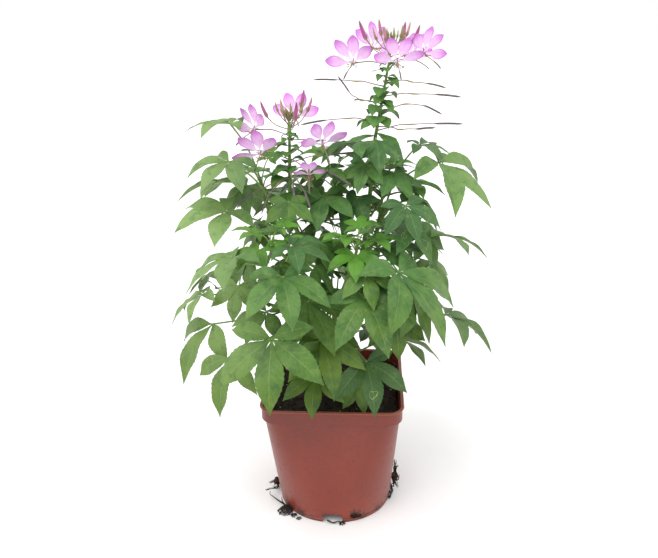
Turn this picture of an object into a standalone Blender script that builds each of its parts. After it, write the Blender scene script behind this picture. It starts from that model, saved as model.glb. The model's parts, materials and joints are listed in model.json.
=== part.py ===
"""A potted spider flower: a bushy plant with two flower heads in a square-topped nursery pot.

Metres, +Z up. The origin is on the table, at the centre of the pot's round foot. Headings are
degrees seen from above: 0 is +X, 90 is +Y, and 270 is the front, -Y.
"""

import math

import bmesh
import bpy
from mathutils import Matrix, Vector
from mathutils.bvhtree import BVHTree

MM = 0.001
GAP = 0.0003  # between pieces that touch
UP = Vector((0.0, 0.0, 1.0))
GOLDEN_ANGLE = 137.5

# Pot: a square lip that blends into a round foot
POT_WIDTH = 0.120
POT_HEIGHT = 0.116
POT_CORNER_RADIUS = 0.013
POT_FOOT_RADIUS = 0.0500
POT_WALL = 0.0016
POT_TURN = -3.5  # degrees about the vertical
LIP_HEIGHT = 0.0026
LIP_OVERHANG = 0.0016
BAND_HEIGHT = 0.0130
BAND_STEP = 0.0022
FOOT_HEIGHT = 0.0060  # the floor stands this high inside the foot ring
FOOT_WALL = 0.0024
FLOOR_THICKNESS = 0.0018
NOTCH_WIDTH = 0.0190
NOTCH_HEIGHT = 0.0072
NOTCH_DEPTH = 0.0090
CORNER_STEPS = 5

# Soil
SOIL_BELOW_LIP = 0.0100
SOIL_MOUND = 0.0040
SOCKET_DEPTH = 0.0250

# Plant: heights and spreads of the stem routes are given as shares of these two
PLANT_HEIGHT = 0.300
PLANT_SPREAD = 0.130
STEM_RADIUS = 0.0036
STEM_TAPER = 0.55
STEM_SIDES = 6
STEM_RING_SPACING = 0.022
TIP_RING_SPACING = 0.0028

# Leaves: a stalk, a small hub and leaflets that spread like fingers
BLADE_LENGTH = 0.046  # middle leaflet of a full-grown leaf
BLADE_WIDTH_SHARE = {3: 0.40, 5: 0.38, 7: 0.26}
BLADE_THICKNESS = 0.0008
HUB_RADIUS = 0.0016  # of a full-grown leaf; small leaves have smaller hubs
STALK_THICKNESS = 0.0015
LEAFLET_ANGLES = {3: (0, 68, -68), 5: (0, 54, -54, 112, -112), 7: (0, 38, -38, 78, -78, 122, -122)}
LEAFLET_SHARES = {3: (1.0, 0.8, 0.8), 5: (1.0, 0.94, 0.94, 0.66, 0.66),
                  7: (1.0, 0.96, 0.96, 0.8, 0.8, 0.52, 0.52)}

# Flowers, buds and pods
PETAL_LENGTH = 0.0215
PETAL_WIDTH = 0.0090
PETAL_THICKNESS = 0.0006
PETAL_ANGLES = (-66, -21, 21, 70)
FLOWER_STALK = 0.0011
BUD_LENGTH = 0.0135
BUD_WIDTH = 0.0030
POD_THICKNESS = 0.0015


class Solid:
    """A closed mesh grown ring by ring. Limbs have rings of four corners and end in a point."""

    def __init__(self):
        self.points = []
        self.faces = []

    def add(self, points):
        first = len(self.points)
        self.points += points
        return list(range(first, first + len(points)))

    def cap(self, ring):
        for i in range(1, len(ring) - 1):
            self.faces.append((ring[0], ring[i], ring[i + 1]))

    def bridge(self, old, new):
        """Joins two rings that run the same way round, with all diagonals slanting alike."""
        for i in range(len(old)):
            j = (i + 1) % len(old)
            self.faces.append((old[i], old[j], new[j]))
            self.faces.append((old[i], new[j], new[i]))

    def nearest_turn(self, old, new):
        """The new ring, turned so that its corners face those of the old one."""
        turns = [new[k:] + new[:k] for k in range(len(new))]
        return min(turns, key=lambda turn: sum(
            (self.points[a] - self.points[b]).length for a, b in zip(old, turn)))

    def square_ring(self, centre, along, face, width, thickness):
        along = along.normalized()
        normal = (face - along * face.dot(along)).normalized()
        side = normal.cross(along) * width / 2
        normal = normal * thickness / 2
        return self.add([centre + side + normal, centre - side + normal,
                         centre - side - normal, centre + side - normal])

    def limb(self, ring, path, sizes, face, pointed=True):
        """Grows a limb from a ring along the path; sizes holds (width, thickness) for each point."""
        body = path[:-1] if pointed else path
        for i, centre in enumerate(body):
            after = path[min(i + 1, len(path) - 1)]
            before = path[max(i - 1, 0)]
            new = self.square_ring(centre, after - before, face, *sizes[i])
            new = self.nearest_turn(ring, new)
            self.bridge(ring, new)
            ring = new
        if pointed:
            tip = self.add([path[-1]])[0]
            for i in range(4):
                self.faces.append((ring[i], ring[(i + 1) % 4], tip))
        return ring

    def hub(self, centre, normal, forward, angles, radius, height):
        """A flat prism with one side face for each angle; returns those faces in the same order."""
        side = normal.cross(forward)
        order = sorted(range(len(angles)), key=lambda i: angles[i])
        corners = []
        for place, i in enumerate(order):
            start = angles[order[place - 1]] - (360 if place == 0 else 0)
            corners.append(math.radians((start + angles[i]) / 2))
        rim = [forward * math.cos(c) + side * math.sin(c) for c in corners]
        low = self.add([centre + r * radius - normal * height / 2 for r in rim])
        high = self.add([centre + r * radius + normal * height / 2 for r in rim])
        faces = {}
        for place, i in enumerate(order):
            after = (place + 1) % len(order)
            faces[i] = [low[place], low[after], high[after], high[place]]
        return low[::-1], high, [faces[i] for i in range(len(angles))]

    def tree(self, first=0, last=None):
        return BVHTree.FromPolygons(self.points, self.faces[first:last])

    def crosses_itself(self, first):
        """Whether the faces from this one on cut any face that they share no corner with."""
        new, old = self.tree(first), self.tree(0, first)
        pairs = [(first + a, b) for a, b in new.overlap(old)]
        pairs += [(first + a, first + b) for a, b in new.overlap(new) if a < b]
        return any(not set(self.faces[a]) & set(self.faces[b]) for a, b in pairs)

    def build(self, name, material):
        mesh = bpy.data.meshes.new(name)
        mesh.from_pydata(self.points, [], self.faces)
        mesh.validate()
        return add_object(name, mesh, material)


def add_object(name, mesh, material):
    obj = bpy.data.objects.new(name, mesh)
    obj.data.materials.append(material)
    bpy.context.scene.collection.objects.link(obj)
    return obj


def make_material(name, colour, roughness):
    material = bpy.data.materials.new(name)
    material.use_nodes = True
    shader = material.node_tree.nodes["Principled BSDF"]
    shader.inputs["Base Color"].default_value = (*colour, 1.0)
    shader.inputs["Roughness"].default_value = roughness
    shader.inputs["Metallic"].default_value = 0.0
    return material


def heading_vector(degrees):
    return Vector((math.cos(math.radians(degrees)), math.sin(math.radians(degrees)), 0.0))


def curve_point(points, share):
    """A point on a smooth curve that passes through all the points."""
    spans = len(points) - 1
    place = min(max(share, 0.0), 1.0) * spans
    i = min(int(place), spans - 1)
    t = place - i
    a, b, c, d = points[max(i - 1, 0)], points[i], points[i + 1], points[min(i + 2, spans)]
    return 0.5 * (2 * b + (c - a) * t + (2 * a - 5 * b + 4 * c - d) * t**2
                  + (3 * b - a - 3 * c + d) * t**3)


# ---- pot and soil ------------------------------------------------------------------------------

def rounded_square(half, corner, height):
    """Points round a square with rounded corners; with corner near half it is a circle."""
    straight = half - corner
    points = []
    for quarter in range(4):
        centre = Matrix.Rotation(math.radians(90 * quarter), 3, "Z") @ Vector((straight, straight, 0))
        for step in range(CORNER_STEPS + 1):
            turn = math.radians(90 * quarter + 90 * step / CORNER_STEPS)
            points.append(centre + Vector((math.cos(turn), math.sin(turn), 0)) * corner
                          + Vector((0, 0, height)))
    return points


def wall_half(height):
    """From the pot's axis to the middle of a side's outer face, at a height below the band."""
    top_half = POT_WIDTH / 2 - LIP_OVERHANG - BAND_STEP
    return POT_FOOT_RADIUS + (top_half - POT_FOOT_RADIUS) * height / (POT_HEIGHT - BAND_HEIGHT)


def body_section(height, inset):
    """The pot's tapered wall at a height, moved inwards by inset."""
    share = height / (POT_HEIGHT - BAND_HEIGHT)
    foot_corner = POT_FOOT_RADIUS * 0.96
    corner = foot_corner + (POT_CORNER_RADIUS - foot_corner) * share - inset
    return rounded_square(wall_half(height) - inset, corner, height)


def pot_sections():
    """Rings from the floor's underside, round the foot, up the outside, over the lip and back down."""
    half = POT_WIDTH / 2
    band = half - LIP_OVERHANG
    band_foot = POT_HEIGHT - BAND_HEIGHT
    lip_foot = POT_HEIGHT - LIP_HEIGHT
    edge = LIP_HEIGHT * 0.3
    corner = POT_CORNER_RADIUS
    floor_top = FOOT_HEIGHT + FLOOR_THICKNESS
    foot_inside = [Vector((p.x, p.y, 0)) for p in body_section(FOOT_HEIGHT, FOOT_WALL)]
    return [
        body_section(FOOT_HEIGHT, FOOT_WALL),
        foot_inside,
        body_section(0.0, 0.0),
        body_section(band_foot * 0.35, 0.0),
        body_section(band_foot * 0.7, 0.0),
        body_section(band_foot, 0.0),
        rounded_square(band - BAND_STEP * 0.15, corner, band_foot + BAND_STEP * 0.6),
        rounded_square(band, corner, lip_foot),
        rounded_square(half - edge, corner + LIP_OVERHANG - edge, lip_foot),
        rounded_square(half, corner + LIP_OVERHANG, lip_foot + edge),
        rounded_square(half, corner + LIP_OVERHANG, POT_HEIGHT - edge),
        rounded_square(half - edge, corner + LIP_OVERHANG - edge, POT_HEIGHT),
        rounded_square(band - POT_WALL, corner - POT_WALL, POT_HEIGHT),
        rounded_square(band - POT_WALL * 1.1, corner - POT_WALL, band_foot + BAND_STEP),
        body_section(band_foot, POT_WALL),
        body_section(floor_top, POT_WALL),
    ]


def make_pot(material):
    pot = Solid()
    rings = [pot.add(section) for section in pot_sections()]
    pot.cap(rings[0][::-1])
    for lower, upper in zip(rings, rings[1:]):
        pot.bridge(lower, upper)
    pot.cap(rings[-1])
    obj = pot.build("pot", material)
    obj.rotation_euler.z = math.radians(POT_TURN)
    for heading in (0, 90, 180, 270):
        cut_notch(obj, heading)
    return obj


def cut_notch(pot, heading):
    """A drain notch through the foot ring and the floor's edge, wider at the table than above."""
    mesh = bpy.data.meshes.new(f"notch_cutter_{heading}")
    shape = bmesh.new()
    top, bottom = NOTCH_WIDTH * 0.42, NOTCH_WIDTH * 0.5
    inner, outer = POT_FOOT_RADIUS - NOTCH_DEPTH, POT_FOOT_RADIUS + FOOT_WALL * 2
    profile = [(-bottom, -FOOT_HEIGHT), (bottom, -FOOT_HEIGHT), (top, NOTCH_HEIGHT + POT_WALL),
               (-top, NOTCH_HEIGHT + POT_WALL)]
    face = shape.faces.new([shape.verts.new((inner, y, z)) for y, z in profile])
    pushed = bmesh.ops.extrude_face_region(shape, geom=[face])
    moved = [v for v in pushed["geom"] if isinstance(v, bmesh.types.BMVert)]
    bmesh.ops.translate(shape, vec=(outer - inner, 0, 0), verts=moved)
    bmesh.ops.recalc_face_normals(shape, faces=shape.faces)
    shape.to_mesh(mesh)
    shape.free()
    cutter = bpy.data.objects.new(mesh.name, mesh)
    bpy.context.scene.collection.objects.link(cutter)
    cutter.rotation_euler.z = math.radians(heading + POT_TURN)
    cutter.hide_render = True
    cutter.display_type = "WIRE"
    cut = pot.modifiers.new(f"notch_{heading}", "BOOLEAN")
    cut.operation = "DIFFERENCE"
    cut.object = cutter


def soil_top():
    return POT_HEIGHT - SOIL_BELOW_LIP


def soil_height_at(x, y):
    """The mounded, slightly lumpy soil surface."""
    reach = POT_WIDTH / 2
    mound = SOIL_MOUND * (1 - min((x * x + y * y) / reach**2, 1.0))
    lumps = 0.0012 * math.sin(x * 190 + 1.0) * math.cos(y * 160 - 0.6)
    return soil_top() + mound + lumps


def make_soil(material, rooted_stems):
    """Fills the pot to just under the lip, with a socket for every stem that is rooted in it."""
    soil = Solid()
    inset = POT_WALL + GAP
    floor = FOOT_HEIGHT + FLOOR_THICKNESS + GAP
    band_foot = POT_HEIGHT - BAND_HEIGHT
    sections = [body_section(floor, inset), body_section(band_foot * 0.5, inset)]
    rim = [Vector((p.x, p.y, soil_top())) for p in body_section(band_foot, inset)]
    sections += [body_section(band_foot, inset), rim]
    for share in (0.8, 0.55, 0.3, 0.1):
        sections.append([Vector((p.x * share, p.y * share, soil_height_at(p.x * share, p.y * share)))
                         for p in rim])
    rings = [soil.add(section) for section in sections]
    soil.cap(rings[0][::-1])
    for lower, upper in zip(rings, rings[1:]):
        soil.bridge(lower, upper)
    soil.cap(rings[-1])
    obj = soil.build("potting_soil", material)
    obj.rotation_euler.z = math.radians(POT_TURN)
    for stem in rooted_stems:
        cut_socket(obj, stem)
    return obj


def cut_socket(soil, stem):
    bpy.ops.mesh.primitive_cylinder_add(
        vertices=12, radius=(stem.radius_at(0.0) + GAP) / math.cos(math.pi / 12),
        depth=SOCKET_DEPTH + GAP + SOIL_MOUND * 4,
        location=(stem.points[0].x, stem.points[0].y,
                  stem.points[0].z - GAP + (SOCKET_DEPTH + GAP + SOIL_MOUND * 4) / 2))
    cutter = bpy.context.active_object
    cutter.name = f"socket_cutter_{stem.name}"
    cutter.hide_render = True
    cutter.display_type = "WIRE"
    cut = soil.modifiers.new("socket", "BOOLEAN")
    cut.operation = "DIFFERENCE"
    cut.object = cutter


# ---- stems -------------------------------------------------------------------------------------

class Stem:
    """A tapered stem along a smooth route; a side shoot starts on its parent's surface."""

    def __init__(self, name, route, radius, parent=None, parent_share=0.0, tip_rings=0,
                 taper=STEM_TAPER):
        self.name = name
        self.radius = radius
        self.taper = taper
        self.points = [Vector((x * PLANT_SPREAD, y * PLANT_SPREAD, soil_top() + h * PLANT_HEIGHT))
                       for x, y, h in route]
        if parent:
            self.points.insert(0, self.start_on(parent, parent_share))
        self.shares = self.ring_shares(tip_rings)

    def start_on(self, parent, share):
        centre, along, radius = parent.at(share)
        out = self.points[0] - centre
        out = (out - along * out.dot(along)).normalized()
        return centre + out * (radius + GAP * 2 + self.radius * 0.9)

    def radius_at(self, share):
        return self.radius * (1 - (1 - self.taper) * share)

    def at(self, share):
        """Centre, direction and radius on the tube as built, which is straight between rings."""
        later = next((i for i, s in enumerate(self.shares) if s >= share and i), len(self.shares) - 1)
        low, high = self.shares[later - 1], self.shares[later]
        start, end = curve_point(self.points, low), curve_point(self.points, high)
        centre = start + (end - start) * (share - low) / (high - low)
        return centre, (end - start).normalized(), self.radius_at(share)

    def length(self):
        places = [curve_point(self.points, i / 40) for i in range(41)]
        return sum((b - a).length for a, b in zip(places, places[1:]))

    def ring_shares(self, tip_rings):
        """Evenly spaced rings, and close ones at the tip where young leaves stand."""
        count = max(3, round(self.length() / STEM_RING_SPACING))
        shares = [i / count for i in range(count + 1)]
        if tip_rings:
            low = 1 - TIP_RING_SPACING * tip_rings / self.length()
            shares = [s for s in shares if s < low - 0.04]
            shares += [low + (1 - low) * i / tip_rings for i in range(tip_rings + 1)]
        return shares

    def grow(self, solid, sides=STEM_SIDES):
        """Adds the tube's rings and returns them."""
        rings = []
        step = 0.01
        for share in self.shares:
            centre = curve_point(self.points, share)
            ahead = curve_point(self.points, share + step)
            along = (ahead - curve_point(self.points, share - step)).normalized()
            radius = self.radius_at(share)
            across = along.cross(Vector((0, 1, 0))).normalized()
            level = along.cross(across)
            rings.append(solid.add([
                centre + (across * math.cos(turn) + level * math.sin(turn)) * radius
                for turn in (2 * math.pi * k / sides for k in range(sides))]))
        for lower, upper in zip(rings, rings[1:]):
            solid.bridge(lower, upper)
        solid.cap(rings[0][::-1])
        return rings

    def solid(self):
        made = Solid()
        made.cap(self.grow(made)[-1])
        return made

    def surface_start(self, share, heading, clearance):
        """A point just off the surface, facing the heading, and the way out from it."""
        centre, along, radius = self.at(share)
        out = heading_vector(heading)
        out = (out - along * out.dot(along)).normalized()
        return centre + out * (radius + clearance), out


STEM_ROUTES = {
    # name: (parent, share along the parent, radius share, points as (x, y, height) shares)
    "main_stem": (None, 0.0, 1.0, [(-0.015, 0.0, -SOCKET_DEPTH / PLANT_HEIGHT), (-0.015, 0.0, 0.02),
                                   (0.0, 0.02, 0.17), (0.0, 0.03, 0.31), (-0.14, 0.04, 0.41),
                                   (-0.26, 0.03, 0.51), (-0.265, 0.01, 0.585)]),
    "right_stem": ("main_stem", 0.42, 0.85, [(0.10, 0.05, 0.30), (0.19, 0.08, 0.40),
                                             (0.225, 0.10, 0.52), (0.245, 0.10, 0.62),
                                             (0.265, 0.09, 0.730)]),
    "upper_left_shoot": ("main_stem", 0.70, 0.62, [(-0.33, 0.09, 0.46), (-0.42, 0.09, 0.54),
                                                   (-0.445, 0.08, 0.62)]),
    "upper_right_shoot": ("right_stem", 0.36, 0.62, [(0.28, 0.16, 0.44), (0.31, 0.18, 0.52),
                                                     (0.33, 0.16, 0.60)]),
    "centre_shoot": ("right_stem", 0.20, 0.60, [(0.09, 0.20, 0.38), (0.05, 0.24, 0.50),
                                                (0.0, 0.16, 0.635)]),
    "front_left_shoot": ("main_stem", 0.46, 0.70, [(-0.15, -0.16, 0.37), (-0.29, -0.32, 0.46),
                                                   (-0.37, -0.41, 0.515)]),
    "front_shoot": ("main_stem", 0.44, 0.66, [(0.06, -0.16, 0.345), (0.12, -0.30, 0.44),
                                              (0.14, -0.37, 0.50)]),
    "low_left_shoot": ("main_stem", 0.34, 0.62, [(-0.24, 0.04, 0.235), (-0.48, 0.09, 0.26),
                                                 (-0.64, 0.13, 0.29)]),
}


def make_stems():
    stems = {}
    for name, (parent, share, radius, route) in STEM_ROUTES.items():
        tip_rings = YOUNG_LEAVES[name][0] if name in YOUNG_LEAVES else 0
        stems[name] = Stem(name, route, STEM_RADIUS * radius, stems.get(parent), share, tip_rings)
    return stems


# ---- leaves ------------------------------------------------------------------------------------

def stalk_path(start, out, end):
    """A leaf stalk: it leaves the stem square on, rises, and arches over to its leaf."""
    span = end - start
    reach = math.hypot(span.x, span.y)
    control = start + out * reach * 0.45 + UP * (0.72 * max(span.z, -0.4 * reach) + 0.14 * reach)
    return [start * (1 - t) ** 2 + control * 2 * t * (1 - t) + end * t**2
            for t in (0.0, 0.18, 0.42, 0.7, 1.0)]


def leaflet_path(hub, direction, normal, length, droop):
    """A leaflet's middle line: it rises a little from the hub and its tip hangs."""
    places = []
    for t in (0.1, 0.42, 0.72, 1.0):
        lift = normal * length * 0.10 * math.sin(math.pi * t)
        places.append(hub + direction * length * t + lift - UP * length * droop * t * t)
    return places


def hub_radius(blade):
    return HUB_RADIUS * (0.55 + 0.45 * min(blade / BLADE_LENGTH, 1.2))


def grow_leaflets(solid, hub, forward, normal, blade, count, droop, thickness):
    """Adds the hub and its leaflets, and returns the hub's face for the stalk."""
    angles = LEAFLET_ANGLES[count]
    radius = hub_radius(blade)
    low, high, faces = solid.hub(hub, normal, forward, (180, *angles), radius, thickness * 1.4)
    solid.cap(low)
    solid.cap(high)
    side = normal.cross(forward)
    for angle, share, face in zip(angles, LEAFLET_SHARES[count], faces[1:]):
        turn = math.radians(angle)
        direction = forward * math.cos(turn) + side * math.sin(turn)
        length = blade * share
        width = length * BLADE_WIDTH_SHARE[count]
        bend = droop * (0.7 + 0.5 * abs(math.sin(turn)))
        path = leaflet_path(hub + direction * radius, direction, normal, length - radius, bend)
        sizes = [(radius * 1.0, thickness * 1.2), (width, thickness), (width * 0.74, thickness * 0.9)]
        solid.limb(face, path, sizes, normal)
    return faces[0]


def hub_frame(heading, tilt, roll):
    """Forward and normal of a leaf that slopes down by tilt and leans sideways by roll."""
    forward = heading_vector(heading)
    side = UP.cross(forward)
    turn = Matrix.Rotation(math.radians(tilt), 3, side)
    lean = Matrix.Rotation(math.radians(roll), 3, turn @ forward)
    return turn @ forward, lean @ turn @ UP


def leaf_solid(start, out, hub, heading, blade, count, tilt, roll, droop, extra=0.0):
    """One palmate leaf. The stalk's root is a point just off the stem."""
    solid = Solid()
    forward, normal = hub_frame(heading, tilt, roll)
    thickness = BLADE_THICKNESS + extra
    face = grow_leaflets(solid, hub, forward, normal, blade, count, droop, thickness)
    path = stalk_path(start, out, hub - forward * hub_radius(blade))[::-1][1:]
    stalk = STALK_THICKNESS + extra
    sizes = [(stalk, stalk * 0.9), (stalk * 1.05, stalk), (stalk * 1.2, stalk * 1.1)]
    solid.limb(face, path, sizes, normal)
    return solid


LEAVES = [
    # stem, share, hub (x, y, height) in shares, heading, blade share, leaflets, tilt, roll, droop
    ("upper_left_shoot", 0.44, (-0.58, -0.04, 0.76), 192, 0.80, 5, 4, 8, 0.12),
    ("upper_left_shoot", 0.24, (-0.60, -0.22, 0.70), 236, 0.76, 5, 18, -6, 0.25),
    ("main_stem", 0.80, (-0.63, 0.02, 0.63), 187, 0.98, 5, 12, 12, 0.15),
    ("main_stem", 0.72, (-0.62, -0.17, 0.56), 203, 0.95, 5, 8, -14, 0.12),
    ("front_left_shoot", 0.74, (-0.55, -0.52, 0.50), 206, 0.92, 5, 24, 6, 0.20),
    ("front_left_shoot", 0.66, (-0.27, -0.58, 0.53), 325, 0.66, 5, 14, 0, 0.20),
    ("front_left_shoot", 0.52, (-0.28, -0.72, 0.47), 283, 0.86, 5, 34, 4, 0.22),
    ("low_left_shoot", 0.60, (-0.82, -0.15, 0.33), 200, 0.70, 5, 30, 10, 0.30),
    ("low_left_shoot", 0.46, (-0.76, -0.25, 0.26), 224, 1.00, 3, 46, 6, 0.30),
    ("main_stem", 0.42, (-0.40, -0.44, 0.33), 236, 0.68, 5, 28, 0, 0.16),
    ("main_stem", 0.36, (-0.35, -0.77, 0.32), 268, 1.10, 5, 52, 8, 0.14),
    ("low_left_shoot", 0.28, (-0.62, -0.54, 0.22), 236, 0.86, 3, 66, 0, 0.30),
    ("front_left_shoot", 0.28, (-0.18, -0.44, 0.36), 302, 0.95, 5, 42, 4, 0.18),
    ("front_shoot", 0.26, (-0.08, -0.50, 0.26), 288, 0.92, 5, 46, -4, 0.16),
    ("main_stem", 0.28, (0.19, -0.47, 0.19), 283, 0.88, 5, 52, -6, 0.16),
    ("right_stem", 0.44, (0.36, -0.50, 0.44), 316, 1.30, 5, 40, -8, 0.18),
    ("front_shoot", 0.40, (0.17, -0.64, 0.40), 298, 0.96, 5, 40, 8, 0.20),
    ("right_stem", 0.60, (0.61, 0.02, 0.64), 344, 1.10, 5, 18, 10, 0.28),
    ("right_stem", 0.38, (0.68, -0.08, 0.48), 346, 0.86, 5, 20, -16, 0.14),
    ("main_stem", 0.32, (0.71, -0.15, 0.26), 332, 1.00, 5, 28, -18, 0.14),
    ("main_stem", 0.22, (0.46, 0.08, 0.14), 352, 0.84, 5, 26, -10, 0.14),
    ("upper_right_shoot", 0.60, (0.54, 0.16, 0.70), 6, 0.66, 5, 12, 6, 0.20),
    ("upper_right_shoot", 0.44, (0.42, -0.30, 0.59), 292, 0.66, 5, 42, 4, 0.20),
    ("right_stem", 0.52, (0.46, -0.16, 0.53), 310, 0.80, 5, 40, -6, 0.18),
    ("centre_shoot", 0.72, (-0.10, -0.04, 0.66), 262, 0.80, 5, 50, 6, 0.16),
    ("right_stem", 0.90, (0.15, -0.04, 0.73), 208, 0.72, 3, 14, 6, 0.24),
    ("front_shoot", 0.50, (0.33, -0.30, 0.52), 340, 0.86, 5, 8, -6, 0.20),
    ("front_shoot", 0.62, (0.20, -0.58, 0.48), 285, 0.62, 5, 56, 0, 0.16),
    ("main_stem", 0.20, (-0.12, -0.34, 0.12), 262, 0.74, 5, 44, 4, 0.12),
    ("right_stem", 0.32, (0.52, 0.46, 0.50), 45, 1.06, 5, 26, 8, 0.22),
    ("centre_shoot", 0.56, (0.06, 0.62, 0.58), 88, 1.02, 5, 30, -8, 0.22),
    ("main_stem", 0.64, (-0.44, 0.50, 0.54), 132, 1.02, 5, 28, 6, 0.22),
    ("main_stem", 0.36, (0.06, 0.66, 0.30), 84, 1.12, 7, 36, 0, 0.22),
    ("low_left_shoot", 0.40, (-0.46, 0.50, 0.25), 128, 0.98, 5, 34, 6, 0.22),
]


def nudges(tries):
    """Ever wider small changes (turn, tilt, stretch), the first of them none at all."""
    for step in range(tries):
        spread = 1.5 * math.sqrt(step)
        turn = math.radians(GOLDEN_ANGLE * step)
        yield spread * math.cos(turn), spread * math.sin(turn), spread * math.sin(step)


class Crowd:
    """The pieces placed so far. A new piece or limb is nudged until it is clear of them."""

    def __init__(self):
        self.trees = []

    def add(self, solid):
        self.trees.append(solid.tree())

    def clear(self, tree):
        return not any(tree.overlap(other) for other in self.trees)

    def settle(self, name, make, tries=500):
        """make(turn, tilt, stretch, extra) builds the piece; extra fattens it for the test."""
        for nudge in nudges(tries):
            fattened = make(*nudge, GAP)
            if self.clear(fattened.tree()) and not fattened.crosses_itself(0):
                break
        else:
            print(f"{name} found no clear place")
        solid = make(*nudge, 0.0)
        self.add(solid)
        return solid

    def settle_limb(self, name, solid, face, grow, tries=300):
        """grow(turn, tilt, stretch) adds a limb to the face; with no clear place, it is left out."""
        points, faces = len(solid.points), len(solid.faces)
        for nudge in nudges(tries):
            grow(*nudge)
            if not solid.crosses_itself(faces) and self.clear(solid.tree(faces)):
                return
            del solid.points[points:]
            del solid.faces[faces:]
        solid.cap(face)
        print(f"{name} went without")


def place_leaf(name, crowd, stems, row):
    stem, share, hub, heading, blade, count, tilt, roll, droop = row
    middle, _, _ = stems[stem].at(share)
    hub = Vector((hub[0] * PLANT_SPREAD, hub[1] * PLANT_SPREAD, soil_top() + hub[2] * PLANT_HEIGHT))
    way = hub - middle
    start, out = stems[stem].surface_start(share, math.degrees(math.atan2(way.y, way.x)), GAP * 2)

    def make(turn, lean, stretch, extra):
        moved = Matrix.Rotation(math.radians(turn * 0.5), 3, "Z") @ way * (1 + stretch * 0.01)
        moved += UP * lean * 0.4 * MM
        return leaf_solid(start, out, middle + moved, heading + turn * 0.8, blade * BLADE_LENGTH,
                          count, tilt + lean * 0.8, roll + turn * 0.6, droop, extra)

    return crowd.settle(name, make)


# ---- side shoots with their young leaves -------------------------------------------------------

YOUNG_LEAVES = {
    # shoot: how many, first heading, reach mm, rise mm, blade share
    "upper_left_shoot": (4, 60, 11, 17, 0.36),
    "upper_right_shoot": (6, 150, 13, 20, 0.42),
    "centre_shoot": (6, 200, 12, 19, 0.42),
    "front_left_shoot": (6, 262, 8, 12, 0.34),
    "front_shoot": (6, 300, 8, 13, 0.38),
    "low_left_shoot": (3, 70, 12, 15, 0.28),
}


def side_face(solid, low, high, want):
    """Opens the side face between two rings that looks the wanted way, and returns its corners."""
    centre = sum((solid.points[p] for p in low + high), Vector()) / (2 * len(low))

    def facing(k):
        middle = (solid.points[low[k]] + solid.points[high[(k + 1) % len(low)]]) / 2
        return (middle - centre).normalized().dot(want)

    side = max(range(len(low)), key=facing)
    after = (side + 1) % len(low)
    face = [low[side], low[after], high[after], high[side]]
    solid.faces = [f for f in solid.faces if not set(f) <= set(face)]
    return face, centre


def shoot_solid(crowd, stem, count, first, reach, rise, blade):
    """A shoot and the young leaves at its tip, grown from the faces of its top rings."""
    made = Solid()
    rings = stem.grow(made)
    made.cap(rings[-1])
    for i in range(count):
        want = heading_vector(first + GOLDEN_ANGLE * i)
        face, centre = side_face(made, rings[-2 - i], rings[-1 - i], want)

        def grow(turn, lean, stretch):
            out = Matrix.Rotation(math.radians(turn * 1.2), 3, "Z") @ want
            grow_young_leaf(made, face, centre, out, reach * (1 + 0.22 * i) * (1 + 0.02 * stretch),
                            rise - 2.0 * i + lean * 0.2, blade * (1 + 0.12 * i), 10 * i - 30 + lean)

        crowd.settle_limb(f"{stem.name} leaf {i}", made, face, grow)
    crowd.add(made)
    return made


def grow_young_leaf(solid, face, centre, out, reach, rise, blade, tilt):
    hub = centre + out * reach * MM + UP * rise * MM
    forward, normal = hub_frame(math.degrees(math.atan2(out.y, out.x)), tilt, 0)
    stalk_face = grow_leaflets(solid, hub, forward, normal, blade * BLADE_LENGTH, 5, 0.12,
                               BLADE_THICKNESS)
    path = stalk_path(centre, out, hub - forward * hub_radius(blade * BLADE_LENGTH))[2:4]
    thin = STALK_THICKNESS * 0.75
    ring = solid.limb(face, path, [(thin, thin), (thin, thin)], normal, pointed=False)
    solid.bridge(ring, solid.nearest_turn(ring, stalk_face[::-1]))


# ---- flower heads ------------------------------------------------------------------------------

class Head:
    """Where a raceme and its bud cluster stand: a line from the stem's top."""

    def __init__(self, stem, raceme_length, lean):
        top, _, self.radius = stem.at(1.0)
        self.base = top + UP * GAP
        self.axis = (UP + lean).normalized()
        self.length = raceme_length

    def at(self, share):
        return self.base + self.axis * self.length * share


RACEMES = {
    # name: stem, length, lean (x, y), pods, bracts
    "left": ("main_stem", 0.050, (0.02, -0.02),
             [  # share, heading, stalk mm, rise mm, thin part mm, pod mm, droop
                 (0.24, 230, 28, 2, 16, 17, 0.45), (0.30, 246, 24, 2, 13, 17, 0.95),
                 (0.34, 290, 22, 2, 14, 18, 0.80), (0.44, 322, 22, 7, 20, 17, 0.45),
                 (0.50, 12, 20, 6, 20, 15, 0.10), (0.58, 140, 22, 5, 18, 14, 0.20),
                 (0.66, 60, 22, 6, 18, 14, 0.15), (0.38, 276, 22, 5, 14, 18, 0.60)],
             [(0.06, 262, 21, -7), (0.12, 128, 20, -4), (0.20, 350, 20, -8), (0.46, 238, 17, 0),
              (0.68, 262, 15, 2), (0.80, 170, 13, 3)]),
    "right": ("right_stem", 0.060, (0.17, -0.03),
              [
                  (0.10, 352, 20, 6, 25, 21, 0.02), (0.16, 318, 17, -2, 20, 17, -0.25),
                  (0.22, 196, 22, 6, 22, 18, 0.18), (0.36, 8, 24, 9, 12, 16, 0.65),
                  (0.46, 216, 20, 0, 8, 24, -1.0), (0.56, 348, 21, 3, 22, 16, 0.12),
                  (0.66, 172, 20, 5, 17, 17, 0.0), (0.76, 340, 20, 0, 15, 11, 0.25),
                  (0.62, 80, 20, 4, 18, 14, 0.1), (0.40, 110, 20, 4, 20, 15, 0.2)],
              [(0.03, 196, 25, -2), (0.07, 322, 24, -13), (0.24, 226, 20, -2), (0.30, 290, 17, -4),
               (0.51, 300, 14, -6), (0.60, 244, 15, -4), (0.80, 318, 13, -5), (0.90, 150, 13, 0)]),
}


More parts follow.
